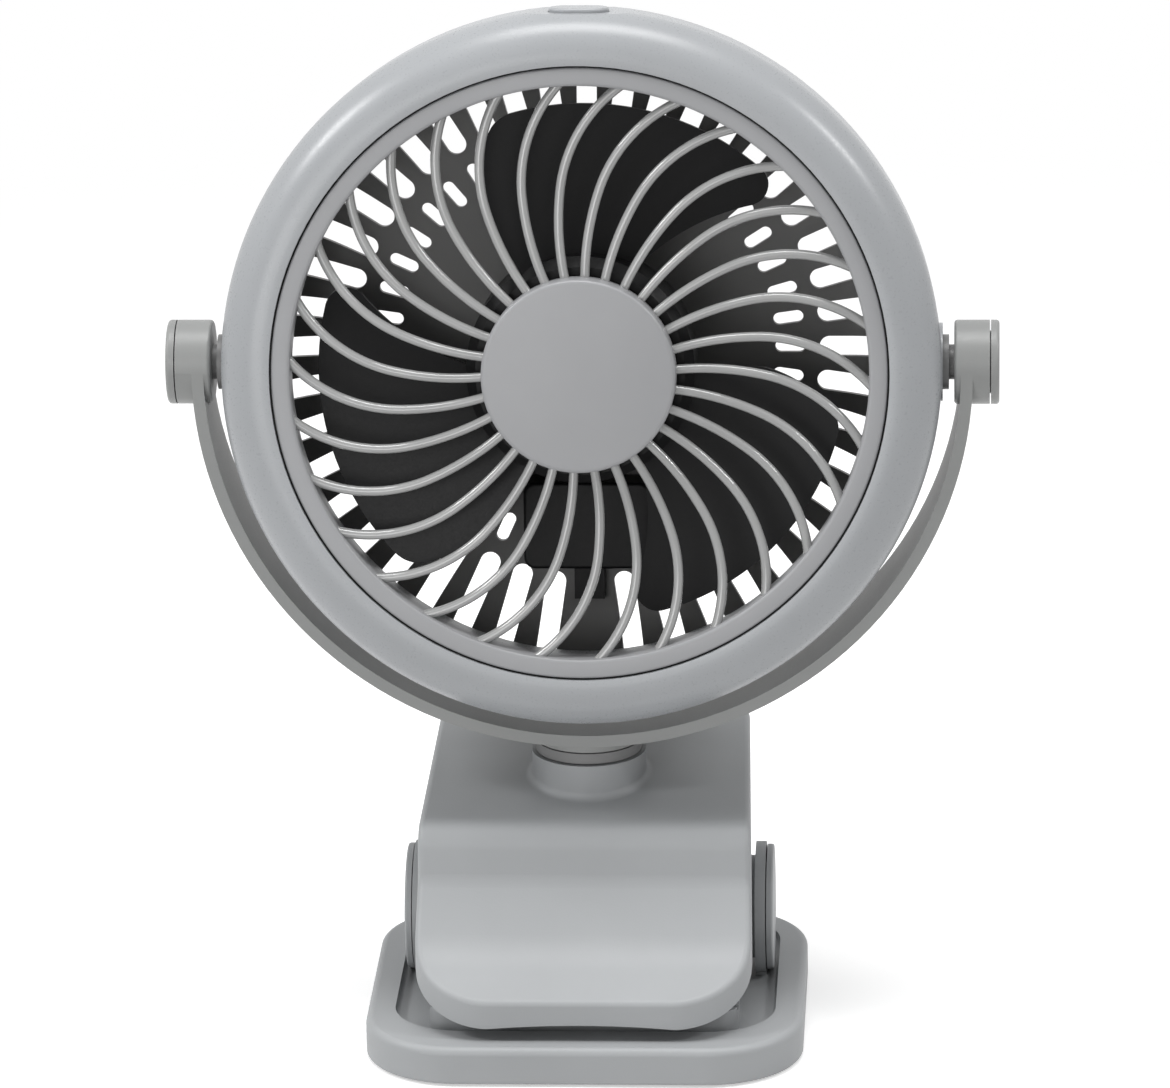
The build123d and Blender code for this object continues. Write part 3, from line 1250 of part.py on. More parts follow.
with BuildPart() as blade:
    for section in blade_sections:
        add(section)
    loft()
    with BuildSketch(HEAD.offset(FAN_HUB_BACK_Z)) as blade_outline:
        with BuildLine():
            ThreePointArc(
                polar(blade_root, LEADING_ROOT),
                polar(LEADING_MIDDLE_RADIUS, LEADING_MIDDLE),
                polar(blade_tip, LEADING_TIP),
            )
            ThreePointArc(
                polar(blade_tip, LEADING_TIP),
                polar(blade_tip, (LEADING_TIP + TRAILING_TIP) / 2),
                polar(blade_tip, TRAILING_TIP),
            )
            ThreePointArc(
                polar(blade_tip, TRAILING_TIP),
                polar(TRAILING_MIDDLE_RADIUS, TRAILING_MIDDLE),
                polar(blade_root, TRAILING_ROOT),
            )
            ThreePointArc(
                polar(blade_root, TRAILING_ROOT),
                polar(blade_root, (LEADING_ROOT + TRAILING_ROOT) / 2),
                polar(blade_root, LEADING_ROOT),
            )
        make_face()
        fillet(blade_outline.vertices().sort_by(Axis.X)[-1], LEADING_CORNER)
        fillet(blade_outline.vertices().sort_by(HEAD_UP)[-1], TRAILING_CORNER)
    extrude(amount=FAN_HUB_FRONT_Z - FAN_HUB_BACK_Z, mode=Mode.INTERSECT)

with BuildPart(HEAD) as propeller:
    with BuildSketch(HEAD_SECTION):
        with BuildLine():
            Polyline(
                (SHAFT_RADIUS, FAN_BOSS_BACK_Z),
                (FAN_BOSS_RADIUS, FAN_BOSS_BACK_Z),
                (FAN_BOSS_RADIUS, FAN_HUB_FRONT_Z - 2 * FAN_HUB_WALL),
                (hub_cup_inside, FAN_HUB_FRONT_Z - 2 * FAN_HUB_WALL),
                (hub_cup_inside, FAN_HUB_BACK_Z),
                (FAN_HUB_RADIUS, FAN_HUB_BACK_Z),
                (FAN_HUB_RADIUS, FAN_HUB_FRONT_Z - FAN_HUB_EDGE),
                (FAN_HUB_RADIUS - FAN_HUB_EDGE, FAN_HUB_FRONT_Z),
                (NUT_RECESS, FAN_HUB_FRONT_Z),
                (NUT_RECESS, recess_floor_z),
                (SHAFT_RADIUS, recess_floor_z),
                close=True,
            )
        make_face()
    revolve(axis=HEAD_AXIS)
    with PolarLocations(0, BLADE_COUNT):
        add(HEAD.to_local_coords(blade.part))

with BuildPart() as propeller_nut:
    with BuildSketch(HEAD.offset(recess_floor_z)):
        RegularPolygon(NUT_RADIUS, 6)
        Circle(SHAFT_RADIUS, mode=Mode.SUBTRACT)
    extrude(amount=NUT_HEIGHT - SEAT_GAP)

# ---------------------------------------------------------------- write
pieces = {
    "base_shell": base_shell,
    "bottom_cover": bottom_cover,
    "bottom_screws": bottom_screws,
    "rubber_feet": rubber_feet,
    "lower_pad": lower_pad,
    "hinge_tube": hinge_tube,
    "battery_cell": battery_cell,
    "battery_contacts": battery_contacts,
    "hinge_cap_left": hinge_cap_left,
    "hinge_cap_right": hinge_cap_right,
    "clip_spring": clip_spring,
    "upper_jaw": upper_jaw,
    "jaw_pad": jaw_pad,
    "neck_pivot": neck_pivot,
    "neck_washer": neck_washer,
    "neck_screw": neck_screw,
    "yoke": yoke,
    "yoke_cap_left": yoke_cap_left,
    "yoke_cap_right": yoke_cap_right,
    "tilt_pin_left": tilt_pin_left,
    "tilt_pin_right": tilt_pin_right,
    "tilt_washers": tilt_washers,
    "tilt_screws": tilt_screws,
    "ring_housing": ring_housing,
    "front_grille": front_grille,
    "rear_cover": rear_cover,
    "motor_can": motor_can,
    "motor_bell": motor_bell,
    "motor_mount": motor_mount,
    "motor_screws": motor_screws,
    "motor_shaft": motor_shaft,
    "control_board": control_board,
    "board_cover": board_cover,
    "charge_port": charge_port,
    "propeller": propeller,
    "propeller_nut": propeller_nut,
    "power_button": power_button,
    "power_switch": power_switch,
}
for name, piece in pieces.items():
    piece.part.label = name
    export_step(piece.part, f"parts/{name}.step")
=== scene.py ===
"""Looks of the clip fan: materials, small forms, floor, light and camera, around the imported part.

Lengths are in metres, or in millimetres times MM. The head has a plane of its own, as it has in
the part: its origin is on the tilt axis, its z points out of the grille, and its x and y are
right and up as seen from there.
"""

from math import copysign, cos, pi, radians, sin

import bmesh
import bpy
from mathutils import Matrix, Vector


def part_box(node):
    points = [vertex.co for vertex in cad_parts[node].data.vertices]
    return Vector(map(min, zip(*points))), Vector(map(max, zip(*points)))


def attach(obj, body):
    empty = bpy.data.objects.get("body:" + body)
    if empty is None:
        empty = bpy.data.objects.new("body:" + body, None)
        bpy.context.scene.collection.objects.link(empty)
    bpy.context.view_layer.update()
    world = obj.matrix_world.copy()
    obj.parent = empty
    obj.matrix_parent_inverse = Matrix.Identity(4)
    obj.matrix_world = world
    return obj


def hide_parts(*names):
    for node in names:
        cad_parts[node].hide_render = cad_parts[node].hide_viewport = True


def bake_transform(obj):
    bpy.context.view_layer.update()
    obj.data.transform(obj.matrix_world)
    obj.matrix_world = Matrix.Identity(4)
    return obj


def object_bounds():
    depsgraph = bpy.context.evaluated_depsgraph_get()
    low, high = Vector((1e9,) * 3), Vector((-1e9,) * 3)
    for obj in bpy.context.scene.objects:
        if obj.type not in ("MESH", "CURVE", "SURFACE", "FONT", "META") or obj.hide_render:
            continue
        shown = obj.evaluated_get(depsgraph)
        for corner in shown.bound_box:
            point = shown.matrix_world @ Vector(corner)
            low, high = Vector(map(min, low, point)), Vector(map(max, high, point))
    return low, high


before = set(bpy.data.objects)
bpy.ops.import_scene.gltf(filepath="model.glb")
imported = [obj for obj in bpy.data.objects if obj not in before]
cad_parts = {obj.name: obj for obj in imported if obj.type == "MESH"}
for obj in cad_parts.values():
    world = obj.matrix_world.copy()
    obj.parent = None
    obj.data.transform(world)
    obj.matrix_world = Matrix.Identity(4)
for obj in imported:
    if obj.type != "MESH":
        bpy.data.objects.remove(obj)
cad_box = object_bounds()

MM = 0.001
X_AXIS = Vector((1, 0, 0))
NECK_Y = 0.012
TILT_CENTRE = Vector((0, NECK_Y, 0.141))
HINGE_CENTRE = Vector((0, NECK_Y, 0.0195))
HEAD_TILT = radians(8)

head_y = Vector((0, sin(HEAD_TILT), cos(HEAD_TILT)))
head_z = Vector((0, -cos(HEAD_TILT), sin(HEAD_TILT)))
head_turn = Matrix((X_AXIS, head_y, head_z)).transposed().to_4x4()
HEAD = Matrix.Translation(TILT_CENTRE) @ head_turn


# ---------------------------------------------------------------- materials
def new_material(name):
    """A material with its node tree and its shader, ready for links."""
    material = bpy.data.materials.new(name)
    material.use_nodes = True
    return material, material.node_tree, material.node_tree.nodes["Principled BSDF"]


def noise(tree, scale, detail=3.0, stretch=(1, 1, 1)):
    """A noise pattern in the object's own space, in features per metre."""
    place = tree.nodes.new("ShaderNodeTexCoord")
    mapping = tree.nodes.new("ShaderNodeMapping")
    mapping.inputs["Scale"].default_value = stretch
    pattern = tree.nodes.new("ShaderNodeTexNoise")
    pattern.inputs["Scale"].default_value = scale
    pattern.inputs["Detail"].default_value = detail
    tree.links.new(place.outputs["Object"], mapping.inputs["Vector"])
    tree.links.new(mapping.outputs["Vector"], pattern.inputs["Vector"])
    return pattern.outputs["Fac"]


def tones(tree, factor, low, high, start=0.35, end=0.65):
    """A blend between two colours along a pattern."""
    ramp = tree.nodes.new("ShaderNodeValToRGB")
    ramp.color_ramp.elements[0].position = start
    ramp.color_ramp.elements[1].position = end
    ramp.color_ramp.elements[0].color = (*low, 1)
    ramp.color_ramp.elements[1].color = (*high, 1)
    tree.links.new(factor, ramp.inputs["Fac"])
    return ramp.outputs["Color"]


def spread(tree, factor, low, high):
    """A number between two limits along a pattern."""
    span = tree.nodes.new("ShaderNodeMapRange")
    span.inputs["From Min"].default_value = 0.3
    span.inputs["From Max"].default_value = 0.7
    span.inputs["To Min"].default_value = low
    span.inputs["To Max"].default_value = high
    tree.links.new(factor, span.inputs["Value"])
    return span.outputs["Result"]


def bumped(tree, shader, height, strength, distance):
    """Relief from a pattern."""
    bump = tree.nodes.new("ShaderNodeBump")
    bump.inputs["Strength"].default_value = strength
    bump.inputs["Distance"].default_value = distance
    tree.links.new(height, bump.inputs["Height"])
    tree.links.new(bump.outputs["Normal"], shader.inputs["Normal"])


def moulded(
    name, colour, roughness, grain=0.15, grain_size=0.45, mottle=0.035, coat=0.0, shine=0.5
):
    """Moulded plastic: a grain in millimetres, a slow drift of tone and a slightly uneven gloss."""
    material, tree, shader = new_material(name)
    drift = noise(tree, scale=28.0, detail=4.0)
    low = [c * (1 - mottle) for c in colour]
    high = [min(1.0, c * (1 + mottle)) for c in colour]
    tree.links.new(tones(tree, drift, low, high), shader.inputs["Base Color"])
    pebble = noise(tree, scale=1 / (grain_size * MM), detail=2.0)
    gloss = spread(tree, pebble, roughness - 0.04, roughness + 0.05)
    tree.links.new(gloss, shader.inputs["Roughness"])
    bumped(tree, shader, pebble, strength=grain, distance=0.06 * MM)
    shader.inputs["Specular IOR Level"].default_value = shine
    shader.inputs["Coat Weight"].default_value = coat
    shader.inputs["Coat Roughness"].default_value = 0.09
    return material


def metal(name, colour, roughness, grain_scale, stretch):
    """Bare or plated metal: fine marks along one way, with dull patches."""
    material, tree, shader = new_material(name)
    shader.inputs["Metallic"].default_value = 1.0
    dull = noise(tree, scale=60.0, detail=4.0)
    low = [c * 0.86 for c in colour]
    tree.links.new(tones(tree, dull, low, colour), shader.inputs["Base Color"])
    marks = noise(tree, scale=grain_scale, detail=2.0, stretch=stretch)
    gloss = spread(tree, marks, roughness - 0.07, roughness + 0.1)
    tree.links.new(gloss, shader.inputs["Roughness"])
    bumped(tree, shader, marks, strength=0.12, distance=0.03 * MM)
    return material


def rubber(name, colour):
    """Soft moulded rubber: dull, dusty in patches."""
    material, tree, shader = new_material(name)
    dust = noise(tree, scale=140.0, detail=5.0)
    high = [c * 1.2 + 0.015 for c in colour]
    dusty = tones(tree, dust, colour, high, start=0.4, end=0.75)
    tree.links.new(dusty, shader.inputs["Base Color"])
    pebble = noise(tree, scale=3200.0, detail=2.0)
    tree.links.new(spread(tree, pebble, 0.62, 0.8), shader.inputs["Roughness"])
    bumped(tree, shader, pebble, strength=0.3, distance=0.06 * MM)
    return material


def circuit_board(name):
    """A lacquered board: copper runs show as a paler green."""
    material, tree, shader = new_material(name)
    place = tree.nodes.new("ShaderNodeTexCoord")
    runs = tree.nodes.new("ShaderNodeTexBrick")
    runs.inputs["Scale"].default_value = 420.0
    runs.inputs["Mortar Size"].default_value = 0.06
    runs.inputs["Color1"].default_value = (0.012, 0.11, 0.045, 1)
    runs.inputs["Color2"].default_value = (0.016, 0.14, 0.055, 1)
    runs.inputs["Mortar"].default_value = (0.04, 0.24, 0.1, 1)
    tree.links.new(place.outputs["Object"], runs.inputs["Vector"])
    tree.links.new(runs.outputs["Color"], shader.inputs["Base Color"])
    gloss = spread(tree, noise(tree, scale=300.0), 0.25, 0.4)
    tree.links.new(gloss, shader.inputs["Roughness"])
    return material


ring_plastic = moulded(
    "ring_plastic", (0.352, 0.364, 0.378), roughness=0.3, grain=0.08, grain_size=0.5, mottle=0.03
)
rim_plastic = moulded(
    "rim_plastic", (0.315, 0.318, 0.328), roughness=0.36, grain=0.14, grain_size=0.4
)
rib_plastic = moulded(
    "rib_plastic", (0.31, 0.312, 0.31), roughness=0.16, grain=0.1, grain_size=0.6, mottle=0.05,
    coat=0.9,
)
yoke_plastic = moulded(
    "yoke_plastic", (0.275, 0.28, 0.276), roughness=0.42, grain=0.16, grain_size=0.4
)
clip_plastic = moulded(
    "clip_plastic", (0.352, 0.363, 0.372), roughness=0.5, grain=0.3, grain_size=0.35, mottle=0.03
)
pivot_plastic = moulded("pivot_plastic", (0.2, 0.2, 0.2), roughness=0.42, grain=0.12)
rear_plastic = moulded(
    "rear_plastic", (0.15, 0.149, 0.146), roughness=0.45, grain=0.22, grain_size=0.4, mottle=0.06,
    shine=0.4,
)
black_plastic = moulded(
    "black_plastic", (0.007, 0.007, 0.0074), roughness=0.45, grain=0.3, grain_size=0.5,
    mottle=0.12, shine=0.2,
)
# Near-black painted shadow for the bottom of the seam between ring and grille, whose ledge is grey
# plastic
painted_seam_shadow = moulded("painted_seam_shadow", (0.004, 0.004, 0.004), roughness=0.85, grain=0.1)
steel = metal("steel", (0.56, 0.57, 0.58), 0.32, grain_scale=900.0, stretch=(1, 1, 6))
nickel = metal("nickel", (0.66, 0.64, 0.6), 0.24, grain_scale=700.0, stretch=(1, 6, 1))
brass = metal("brass", (0.6, 0.42, 0.16), 0.3, grain_scale=900.0, stretch=(1, 1, 4))
can_metal = metal("can_metal", (0.5, 0.5, 0.5), 0.36, grain_scale=1200.0, stretch=(1, 5, 1))
grey_rubber = rubber("grey_rubber", (0.27, 0.275, 0.28))
black_rubber = rubber("black_rubber", (0.018, 0.018, 0.018))
sleeve = moulded(
    "cell_sleeve", (0.02, 0.09, 0.17), roughness=0.25, grain=0.05, grain_size=1.2, mottle=0.08,
    coat=0.4,
)
board = circuit_board("board")

looks = {
    "base_shell": clip_plastic, "bottom_cover": clip_plastic, "bottom_screws": steel,
    "rubber_feet": black_rubber, "lower_pad": clip_plastic, "hinge_tube": clip_plastic,
    "battery_cell": sleeve, "battery_contacts": nickel, "hinge_cap_left": clip_plastic,
    "hinge_cap_right": clip_plastic, "clip_spring": steel, "upper_jaw": clip_plastic,
    "jaw_pad": grey_rubber, "neck_pivot": pivot_plastic, "neck_washer": steel,
    "neck_screw": steel, "yoke": yoke_plastic, "yoke_cap_left": yoke_plastic,
    "yoke_cap_right": yoke_plastic, "tilt_pin_left": pivot_plastic,
    "tilt_pin_right": pivot_plastic, "tilt_washers": steel, "tilt_screws": steel,
    "ring_housing": ring_plastic, "front_grille": rim_plastic, "rear_cover": rear_plastic,
    "motor_can": can_metal, "motor_bell": can_metal, "motor_mount": steel,
    "motor_screws": steel, "motor_shaft": steel, "control_board": board,
    "board_cover": black_plastic, "charge_port": nickel, "propeller": black_plastic,
    "propeller_nut": brass, "power_button": ring_plastic, "power_switch": black_plastic,
}
for name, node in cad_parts.items():
    node.data.materials.clear()
    node.data.materials.append(looks[name])


# ---------------------------------------------------------------- tools for the forms
def new_piece(name, form, material, body, replaced=None, sharp_from=40):
    """Turns a bmesh into a piece. It rides on a body, unless that is None: then it stays
    unattached.
    """
    mesh = bpy.data.meshes.new(name)
    bmesh.ops.recalc_face_normals(form, faces=form.faces)
    form.to_mesh(mesh)
    form.free()
    piece = bpy.data.objects.new(name, mesh)
    bpy.context.scene.collection.objects.link(piece)
    mesh.materials.append(material)
    for polygon in mesh.polygons:
        polygon.use_smooth = True
    mesh.set_sharp_from_angle(angle=radians(sharp_from))
    if body:
        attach(piece, body)
    if replaced:
        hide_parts(replaced)
    return piece


def circle(radius, steps):
    """Points of a circle, as (x, y)."""
    angles = [2 * pi * step / steps for step in range(steps)]
    return [(radius * cos(angle), radius * sin(angle)) for angle in angles]


def bridge(form, ring, following):
    """Four-sided faces between two closed rings of vertices."""
    for i in range(len(ring)):
        j = (i + 1) % len(ring)
        form.faces.new([ring[i], ring[j], following[j], following[i]])


def rounded(corner, before, after, radius, steps=5):
    """Points that round the corner of a profile."""
    corner, before, after = Vector(corner), Vector(before), Vector(after)
    start = corner + (before - corner).normalized() * radius
    end = corner + (after - corner).normalized() * radius
    points = []
    for step in range(steps + 1):
        t = step / steps
        points.append(tuple(start * (1 - t) ** 2 + corner * 2 * t * (1 - t) + end * t**2))
    return points


def profile(corners):
    """A closed profile in metres, from (radius, height, rounding) corners in millimetres."""
    corners = [(r * MM, z * MM, rounding * MM) for r, z, rounding in corners]
    points = []
    for index, (r, z, rounding) in enumerate(corners):
        before, after = corners[index - 1][:2], corners[(index + 1) % len(corners)][:2]
        points += rounded((r, z), before, after, rounding) if rounding else [(r, z)]
    return points


def lathe(corners, steps):
    """A form turned round the head's z from the corners of its profile."""
    form = bmesh.new()
    points = profile(corners)
    rings = []
    for x, y in circle(1, steps):
        rings.append([form.verts.new(HEAD @ Vector((r * x, r * y, z))) for r, z in points])
    for index, ring in enumerate(rings):
        bridge(form, ring, rings[(index + 1) % steps])
    bmesh.ops.remove_doubles(form, verts=form.verts, dist=1e-7)
    return form


def sweep(form, line, section, upright):
    """Carries a closed section along a line of points; the section's y keeps to upright."""
    rings = []
    for index, point in enumerate(line):
        ahead = line[min(index + 1, len(line) - 1)] - line[max(index - 1, 0)]
        across = ahead.cross(upright).normalized()
        lift = across.cross(ahead).normalized()
        rings.append([form.verts.new(point + across * x + lift * y) for x, y in section])
    for ring, following in zip(rings, rings[1:]):
        bridge(form, ring, following)
    form.faces.new(rings[0])
    form.faces.new(reversed(rings[-1]))


# ---------------------------------------------------------------- grille
# Radii and heights on the head's plane, in millimetres
RIM_INSIDE, SPIGOT_OUTSIDE, RIM_OUTSIDE = 60.0, 61.65, 63.85
SPIGOT_BACK, RIM_BACK, RIM_FRONT = 11.5, 15.4, 18.5
HUB_HOLLOW, HUB_RADIUS = 18.0, 20.2
HUB_BACK, HUB_FLOOR, HUB_FRONT = 14.6, 18.8, 21.0
SEAM_INSIDE, SEAM_OUTSIDE = 63.87, 64.22
SEAM_BACK, SEAM_FRONT = 15.45, 17.9
RIB_COUNT = 30
RIB_HALF_WIDTH, RIB_HALF_DEPTH, RIB_MIDDLE = 1.0, 1.2, 15.6
RIB_ROOT_RADIUS, RIB_ROOT_DIRECTION, RIB_ROOT_HEADING = 18.6, radians(1.95), radians(6.85)
LONG_ARC_RADIUS, LONG_ARC_TURN = 59.0, radians(19.4)
HOOK_ARC_RADIUS, HOOK_ARC_TURN = 30.85, radians(48.5)

rim = lathe([
    (RIM_INSIDE, SPIGOT_BACK, 0), (SPIGOT_OUTSIDE, SPIGOT_BACK, 0.3),
    (SPIGOT_OUTSIDE, RIM_BACK, 0), (RIM_OUTSIDE, RIM_BACK, 0),
    (RIM_OUTSIDE, RIM_FRONT, 0.5), (RIM_INSIDE, RIM_FRONT, 0.7),
], steps=180)
new_piece("grille_rim", rim, rim_plastic, "head", "front_grille")

hub = lathe([
    (0, HUB_FRONT, 0), (HUB_RADIUS, HUB_FRONT, 0.9), (HUB_RADIUS, HUB_BACK, 0.4),
    (HUB_HOLLOW, HUB_BACK, 0), (HUB_HOLLOW, HUB_FLOOR, 0), (0, HUB_FLOOR, 0),
], steps=120)
new_piece("grille_hub", hub, rim_plastic, "head", "front_grille")


def arc_run(point, heading, radius, turn, steps):
    """The points after the first of an arc that bends to the right, and its last heading."""
    points = []
    for _ in range(steps):
        heading -= turn / steps / 2
        point = point + Vector((cos(heading), sin(heading), 0)) * radius * turn / steps
        heading -= turn / steps / 2
        points.append(point)
    return points, heading


def rib_section(steps=16, fullness=2.3):
    """The outline of a rib's section, between an ellipse and a block."""
    points = []
    for c, s in circle(1, steps):
        across, lift = copysign(abs(c) ** (2 / fullness), c), copysign(abs(s) ** (2 / fullness), s)
        points.append((across * RIB_HALF_WIDTH * MM, lift * RIB_HALF_DEPTH * MM))
    return points


root = Vector((
    RIB_ROOT_RADIUS * cos(RIB_ROOT_DIRECTION),
    RIB_ROOT_RADIUS * sin(RIB_ROOT_DIRECTION),
    RIB_MIDDLE,
)) * MM
long_run, heading = arc_run(root, RIB_ROOT_HEADING, LONG_ARC_RADIUS * MM, LONG_ARC_TURN, steps=20)
hook_run = arc_run(long_run[-1], heading, HOOK_ARC_RADIUS * MM, HOOK_ARC_TURN, steps=26)[0]
rib_line = [root] + long_run + hook_run
ribs = bmesh.new()
for count in range(RIB_COUNT):
    turned = HEAD @ Matrix.Rotation(2 * pi * count / RIB_COUNT, 4, "Z")
    sweep(ribs, [turned @ point for point in rib_line], rib_section(), head_z)
new_piece("grille_ribs", ribs, rib_plastic, "head", "front_grille")

# A black strip at the bottom of the seam between ring and grille: painted shadow where the grey
# ledge lies in shade
seam = lathe([
    (SEAM_INSIDE, SEAM_BACK, 0), (SEAM_OUTSIDE, SEAM_BACK, 0),
    (SEAM_OUTSIDE, SEAM_FRONT, 0), (SEAM_INSIDE, SEAM_FRONT, 0),
], steps=180)
new_piece("seam_shadow_strip", seam, painted_seam_shadow, "head")

# ---------------------------------------------------------------- clip spring
# Round wire, which winds up from its lower leg to the leg that the jaw carries
SPRING_RADIUS, SPRING_PITCH, WIRE_RADIUS = 12.5 * MM, 2.2 * MM, 0.8 * MM
SPRING_TURNS = 6
TURN_STEPS = 32

low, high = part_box("clip_spring")
coil = []
for step in range(SPRING_TURNS * TURN_STEPS + 1):
    angle = -2 * pi * step / TURN_STEPS
    across = SPRING_PITCH * (step / TURN_STEPS - SPRING_TURNS / 2)
    reach = Vector((across, SPRING_RADIUS * cos(angle), SPRING_RADIUS * sin(angle)))
    coil.append(HINGE_CENTRE + reach)
leg_top = Vector((coil[0].x, coil[0].y, high[2]))
leg_bottom = Vector((coil[-1].x, coil[-1].y, low[2]))
spring_line = [leg_top, leg_top.lerp(coil[0], 0.5)] + coil
spring_line += [coil[-1].lerp(leg_bottom, 0.5), leg_bottom]
spring = bmesh.new()
sweep(spring, spring_line, circle(WIRE_RADIUS, 12), X_AXIS)
spring_piece = new_piece("spring_wire", spring, steel, None, "clip_spring")
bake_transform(spring_piece)


# ---------------------------------------------------------------- screws and socket
def cross_screw(form, matrix, head_radius, head_height, shank_radius, shank_end):
    """A pan-head screw with a cross recess.

    Its face, at z 0, looks along +z, and its shank runs down to shank_end.
    """
    edge = min(head_height * 0.35, 0.4 * MM)
    rings = []
    for radius, z in (
        (head_radius - edge, 0), (head_radius - edge * 0.3, -edge * 0.3), (head_radius, -edge),
        (head_radius, -head_height), (shank_radius, -head_height), (shank_radius, shank_end),
    ):
        points = [Vector((x, y, z)) for x, y in circle(radius, 32)]
        rings.append([form.verts.new(matrix @ point) for point in points])
    for ring, following in zip(rings, rings[1:]):
        bridge(form, ring, following)
    form.faces.new(rings[-1])

    # The recess narrows from the cross in the face to the one at its floor.
    span, width, depth = head_radius * 0.62, head_radius * 0.16, head_height * 0.6
    outline = []
    for quarter in range(4):
        turn = Matrix.Rotation(pi / 2 * quarter, 4, "Z")
        for x, y in ((width, width), (width, span), (-width, span)):
            outline.append(turn @ Vector((x, y, 0)))
    floor_points = [point * 0.75 - Vector((0, 0, depth)) for point in outline]
    upper = [form.verts.new(matrix @ point) for point in outline]
    lower = [form.verts.new(matrix @ point) for point in floor_points]
    bridge(form, upper, lower)
    form.faces.new(lower)
    edges = []
    for loop in (upper, rings[0]):
        for i in range(len(loop)):
            edges.append(form.edges.get([loop[i], loop[(i + 1) % len(loop)]]))
    bmesh.ops.triangle_fill(form, use_beauty=True, edges=edges)


DOWN = Matrix.Rotation(pi, 4, "X")
# Head radius, head height and shank radius
COVER_SCREW = (2.4 * MM, 0.9 * MM, 1.2 * MM)
NECK_SCREW = (3.8 * MM, 2.0 * MM, 2.0 * MM)
MOUNT_SCREW = (2.2 * MM, 1.0 * MM, 1.2 * MM)
COVER_SCREW_X, COVER_SCREW_Y = 0.036, 0.016
MOUNT_SCREW_COUNT = 3
MOUNT_SCREW_CIRCLE, MOUNT_SCREW_FACE, MOUNT_SCREW_END = 0.021, -0.0065, -0.0135

# Each screw's recess stands at an angle of its own, in radians.
screws = bmesh.new()
for x in (-COVER_SCREW_X, COVER_SCREW_X):
    for y in (-COVER_SCREW_Y, COVER_SCREW_Y):
        turn = Matrix.Translation((x, y, 0)) @ DOWN @ Matrix.Rotation(x * 30 + y * 50, 4, "Z")
        cross_screw(screws, turn, *COVER_SCREW, -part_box("bottom_screws")[1][2])
new_piece("cover_screws", screws, steel, "base", "bottom_screws", sharp_from=30)

low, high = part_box("neck_screw")
screws = bmesh.new()
turn = Matrix.Translation((0, NECK_Y, low[2])) @ DOWN @ Matrix.Rotation(0.5, 4, "Z")
cross_screw(screws, turn, *NECK_SCREW, low[2] - high[2])
new_piece("pivot_screw", screws, steel, "yoke", "neck_screw", sharp_from=30)

screws = bmesh.new()
for count in range(MOUNT_SCREW_COUNT):
    angle = pi / 2 + 2 * pi * count / MOUNT_SCREW_COUNT
    spot = MOUNT_SCREW_CIRCLE * cos(angle), MOUNT_SCREW_CIRCLE * sin(angle), MOUNT_SCREW_FACE
    turn = HEAD @ Matrix.Translation(spot) @ Matrix.Rotation(count + 0.4, 4, "Z")
    cross_screw(screws, turn, *MOUNT_SCREW, MOUNT_SCREW_END)
new_piece("mount_screws", screws, steel, "head", "motor_screws", sharp_from=30)


def rounded_bar(matrix, size, rounding):
    """A small block with all its edges rounded."""
    form = bmesh.new()
    bmesh.ops.create_cube(form, size=1.0)
    bmesh.ops.scale(form, vec=Vector(size), verts=form.verts)
    bmesh.ops.bevel(
        form, geom=list(form.edges), offset=rounding, segments=3, affect="EDGES", profile=0.5
    )
    bmesh.ops.transform(form, matrix=matrix, verts=form.verts)
    return form


# The contact tongue inside the charging socket
TONGUE_PLACE = (0, -0.036, -0.0213)
TONGUE_SIZE = (5.0 * MM, 0.7 * MM, 4.2 * MM)
tongue = rounded_bar(HEAD @ Matrix.Translation(TONGUE_PLACE), TONGUE_SIZE, rounding=0.2 * MM)
new_piece("socket_tongue", tongue, black_plastic, "head")

# ---------------------------------------------------------------- world and floor
WORLD_LIGHT = 0.28
FLOOR_SIZE = 3.0
FLOOR_GREY, FLOOR_ROUGHNESS = 0.62, 0.9  # as it lights the object
SHOWN_GREY, SHOWN_GLOW = 0.9, 0.45  # as the camera sees it
FADE_START, FADE_END = 0.2, 0.7


def seen_or_lit(tree, lit, seen, output):
    """Shows one shader to the camera and in mirror or glass, and lights with the other."""
    path = tree.nodes.new("ShaderNodeLightPath")
    factor = path.outputs["Is Camera Ray"]
    for ray in ("Is Glossy Ray", "Is Transmission Ray"):
        larger = tree.nodes.new("ShaderNodeMath")
        larger.operation = "MAXIMUM"
        tree.links.new(factor, larger.inputs[0])
        tree.links.new(path.outputs[ray], larger.inputs[1])
        factor = larger.outputs[0]
    mix = tree.nodes.new("ShaderNodeMixShader")
    tree.links.new(factor, mix.inputs["Fac"])
    tree.links.new(lit, mix.inputs[1])
    tree.links.new(seen, mix.inputs[2])
    tree.links.new(mix.outputs["Shader"], output.inputs["Surface"])


world = bpy.data.worlds.new("studio")
bpy.context.scene.world = world
world.use_nodes = True
tree = world.node_tree
lit = tree.nodes["Background"]
lit.inputs["Color"].default_value = (1, 1, 1, 1)
lit.inputs["Strength"].default_value = WORLD_LIGHT
seen = tree.nodes.new("ShaderNodeBackground")
seen.inputs["Color"].default_value = (1, 1, 1, 1)
seen.inputs["Strength"].default_value = 1.0
seen_or_lit(tree, lit.outputs[0], seen.outputs[0], tree.nodes["World Output"])

floor_form = bmesh.new()
bmesh.ops.create_grid(floor_form, x_segments=8, y_segments=8, size=FLOOR_SIZE)
floor_mesh = bpy.data.meshes.new("floor")
floor_form.to_mesh(floor_mesh)
floor_form.free()
floor = bpy.data.objects.new("floor", floor_mesh)
bpy.context.scene.collection.objects.link(floor)
floor.location.z = cad_box[0][2]

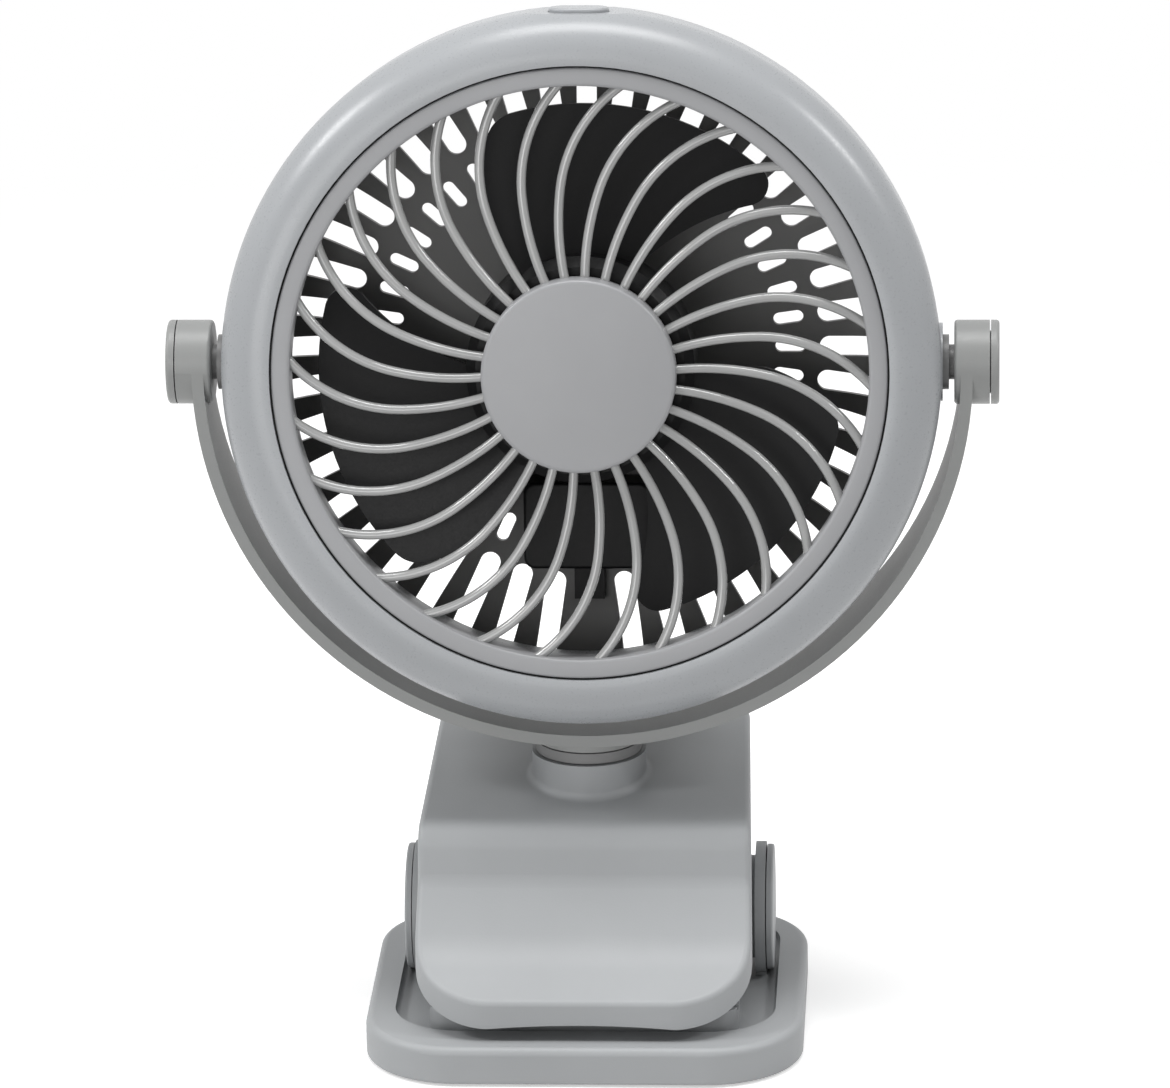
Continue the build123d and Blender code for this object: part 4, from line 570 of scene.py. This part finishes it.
material, tree, shader = new_material("floor")
shader.inputs["Base Color"].default_value = (FLOOR_GREY, FLOOR_GREY, FLOOR_GREY, 1)
shader.inputs["Roughness"].default_value = FLOOR_ROUGHNESS
white = tree.nodes.new("ShaderNodeBsdfDiffuse")
white.inputs["Color"].default_value = (SHOWN_GREY, SHOWN_GREY, SHOWN_GREY, 1)
glow = tree.nodes.new("ShaderNodeEmission")
glow.inputs["Strength"].default_value = SHOWN_GLOW
near = tree.nodes.new("ShaderNodeAddShader")
tree.links.new(white.outputs[0], near.inputs[0])
tree.links.new(glow.outputs[0], near.inputs[1])
# Away from the object the floor runs out into the white of the background.
far = tree.nodes.new("ShaderNodeEmission")
place = tree.nodes.new("ShaderNodeTexCoord")
reach = tree.nodes.new("ShaderNodeVectorMath")
reach.operation = "LENGTH"
tree.links.new(place.outputs["Object"], reach.inputs[0])
fade = tree.nodes.new("ShaderNodeMapRange")
fade.interpolation_type = "SMOOTHSTEP"
fade.inputs["From Min"].default_value = FADE_START
fade.inputs["From Max"].default_value = FADE_END
tree.links.new(reach.outputs["Value"], fade.inputs["Value"])
ground = tree.nodes.new("ShaderNodeMixShader")
tree.links.new(fade.outputs["Result"], ground.inputs["Fac"])
tree.links.new(near.outputs[0], ground.inputs[1])
tree.links.new(far.outputs[0], ground.inputs[2])
seen_or_lit(tree, shader.outputs[0], ground.outputs[0], tree.nodes["Material Output"])
floor_mesh.materials.append(material)


# ---------------------------------------------------------------- lamps and camera
def area_light(name, place, aim, size, power):
    """A soft box, aimed at a point, with its size in metres and its power in watts."""
    light = bpy.data.lights.new(name, "AREA")
    light.shape = "RECTANGLE"
    light.size, light.size_y = size
    light.energy = power
    holder = bpy.data.objects.new(name, light)
    bpy.context.scene.collection.objects.link(holder)
    holder.location = place
    holder.rotation_euler = (Vector(aim) - Vector(place)).to_track_quat("-Z", "Y").to_euler()


area_light("left_box", (-1.0, -0.2, 0.95), aim=(0, 0, 0.13), size=(0.3, 0.3), power=6.2)
area_light("right_box", (1.0, -0.2, 0.95), aim=(0, 0, 0.13), size=(0.07, 0.3), power=4.0)
area_light("top_box", (0, -0.05, 1.4), aim=(0, 0, 0.1), size=(0.8, 0.5), power=11.2)
area_light("front_box", (-0.5, -1.5, 0.3), aim=(0, 0, 0.1), size=(0.9, 0.7), power=7.0)

# The camera stands as in the photograph, whose focal length is given in its own pixels.
AZIMUTH, ELEVATION, ROLL = radians(3.1), radians(18.1), radians(-0.88)
DISTANCE = 1.6
TARGET = Vector((-0.0002, 0.012, 0.1009))
PHOTO_FOCUS, PHOTO_WIDTH, SENSOR_WIDTH = 7594.0, 1170, 36.0

camera_data = bpy.data.cameras.new("camera")
camera = bpy.data.objects.new("camera", camera_data)
bpy.context.scene.collection.objects.link(camera)
bpy.context.scene.camera = camera
back = Vector((sin(AZIMUTH) * cos(ELEVATION), -cos(AZIMUTH) * cos(ELEVATION), sin(ELEVATION)))
right = Vector((cos(AZIMUTH), sin(AZIMUTH), 0))
up = back.cross(right)
side = cos(ROLL) * right + sin(ROLL) * up
top = -sin(ROLL) * right + cos(ROLL) * up
turned = Matrix((side, top, back)).transposed().to_4x4()
camera.matrix_world = Matrix.Translation(TARGET + back * DISTANCE) @ turned
camera_data.sensor_fit = "HORIZONTAL"
camera_data.sensor_width = SENSOR_WIDTH
camera_data.lens = PHOTO_FOCUS / PHOTO_WIDTH * SENSOR_WIDTH
camera_data.clip_end = 20.0
bpy.context.scene.view_settings.view_transform = "Standard"
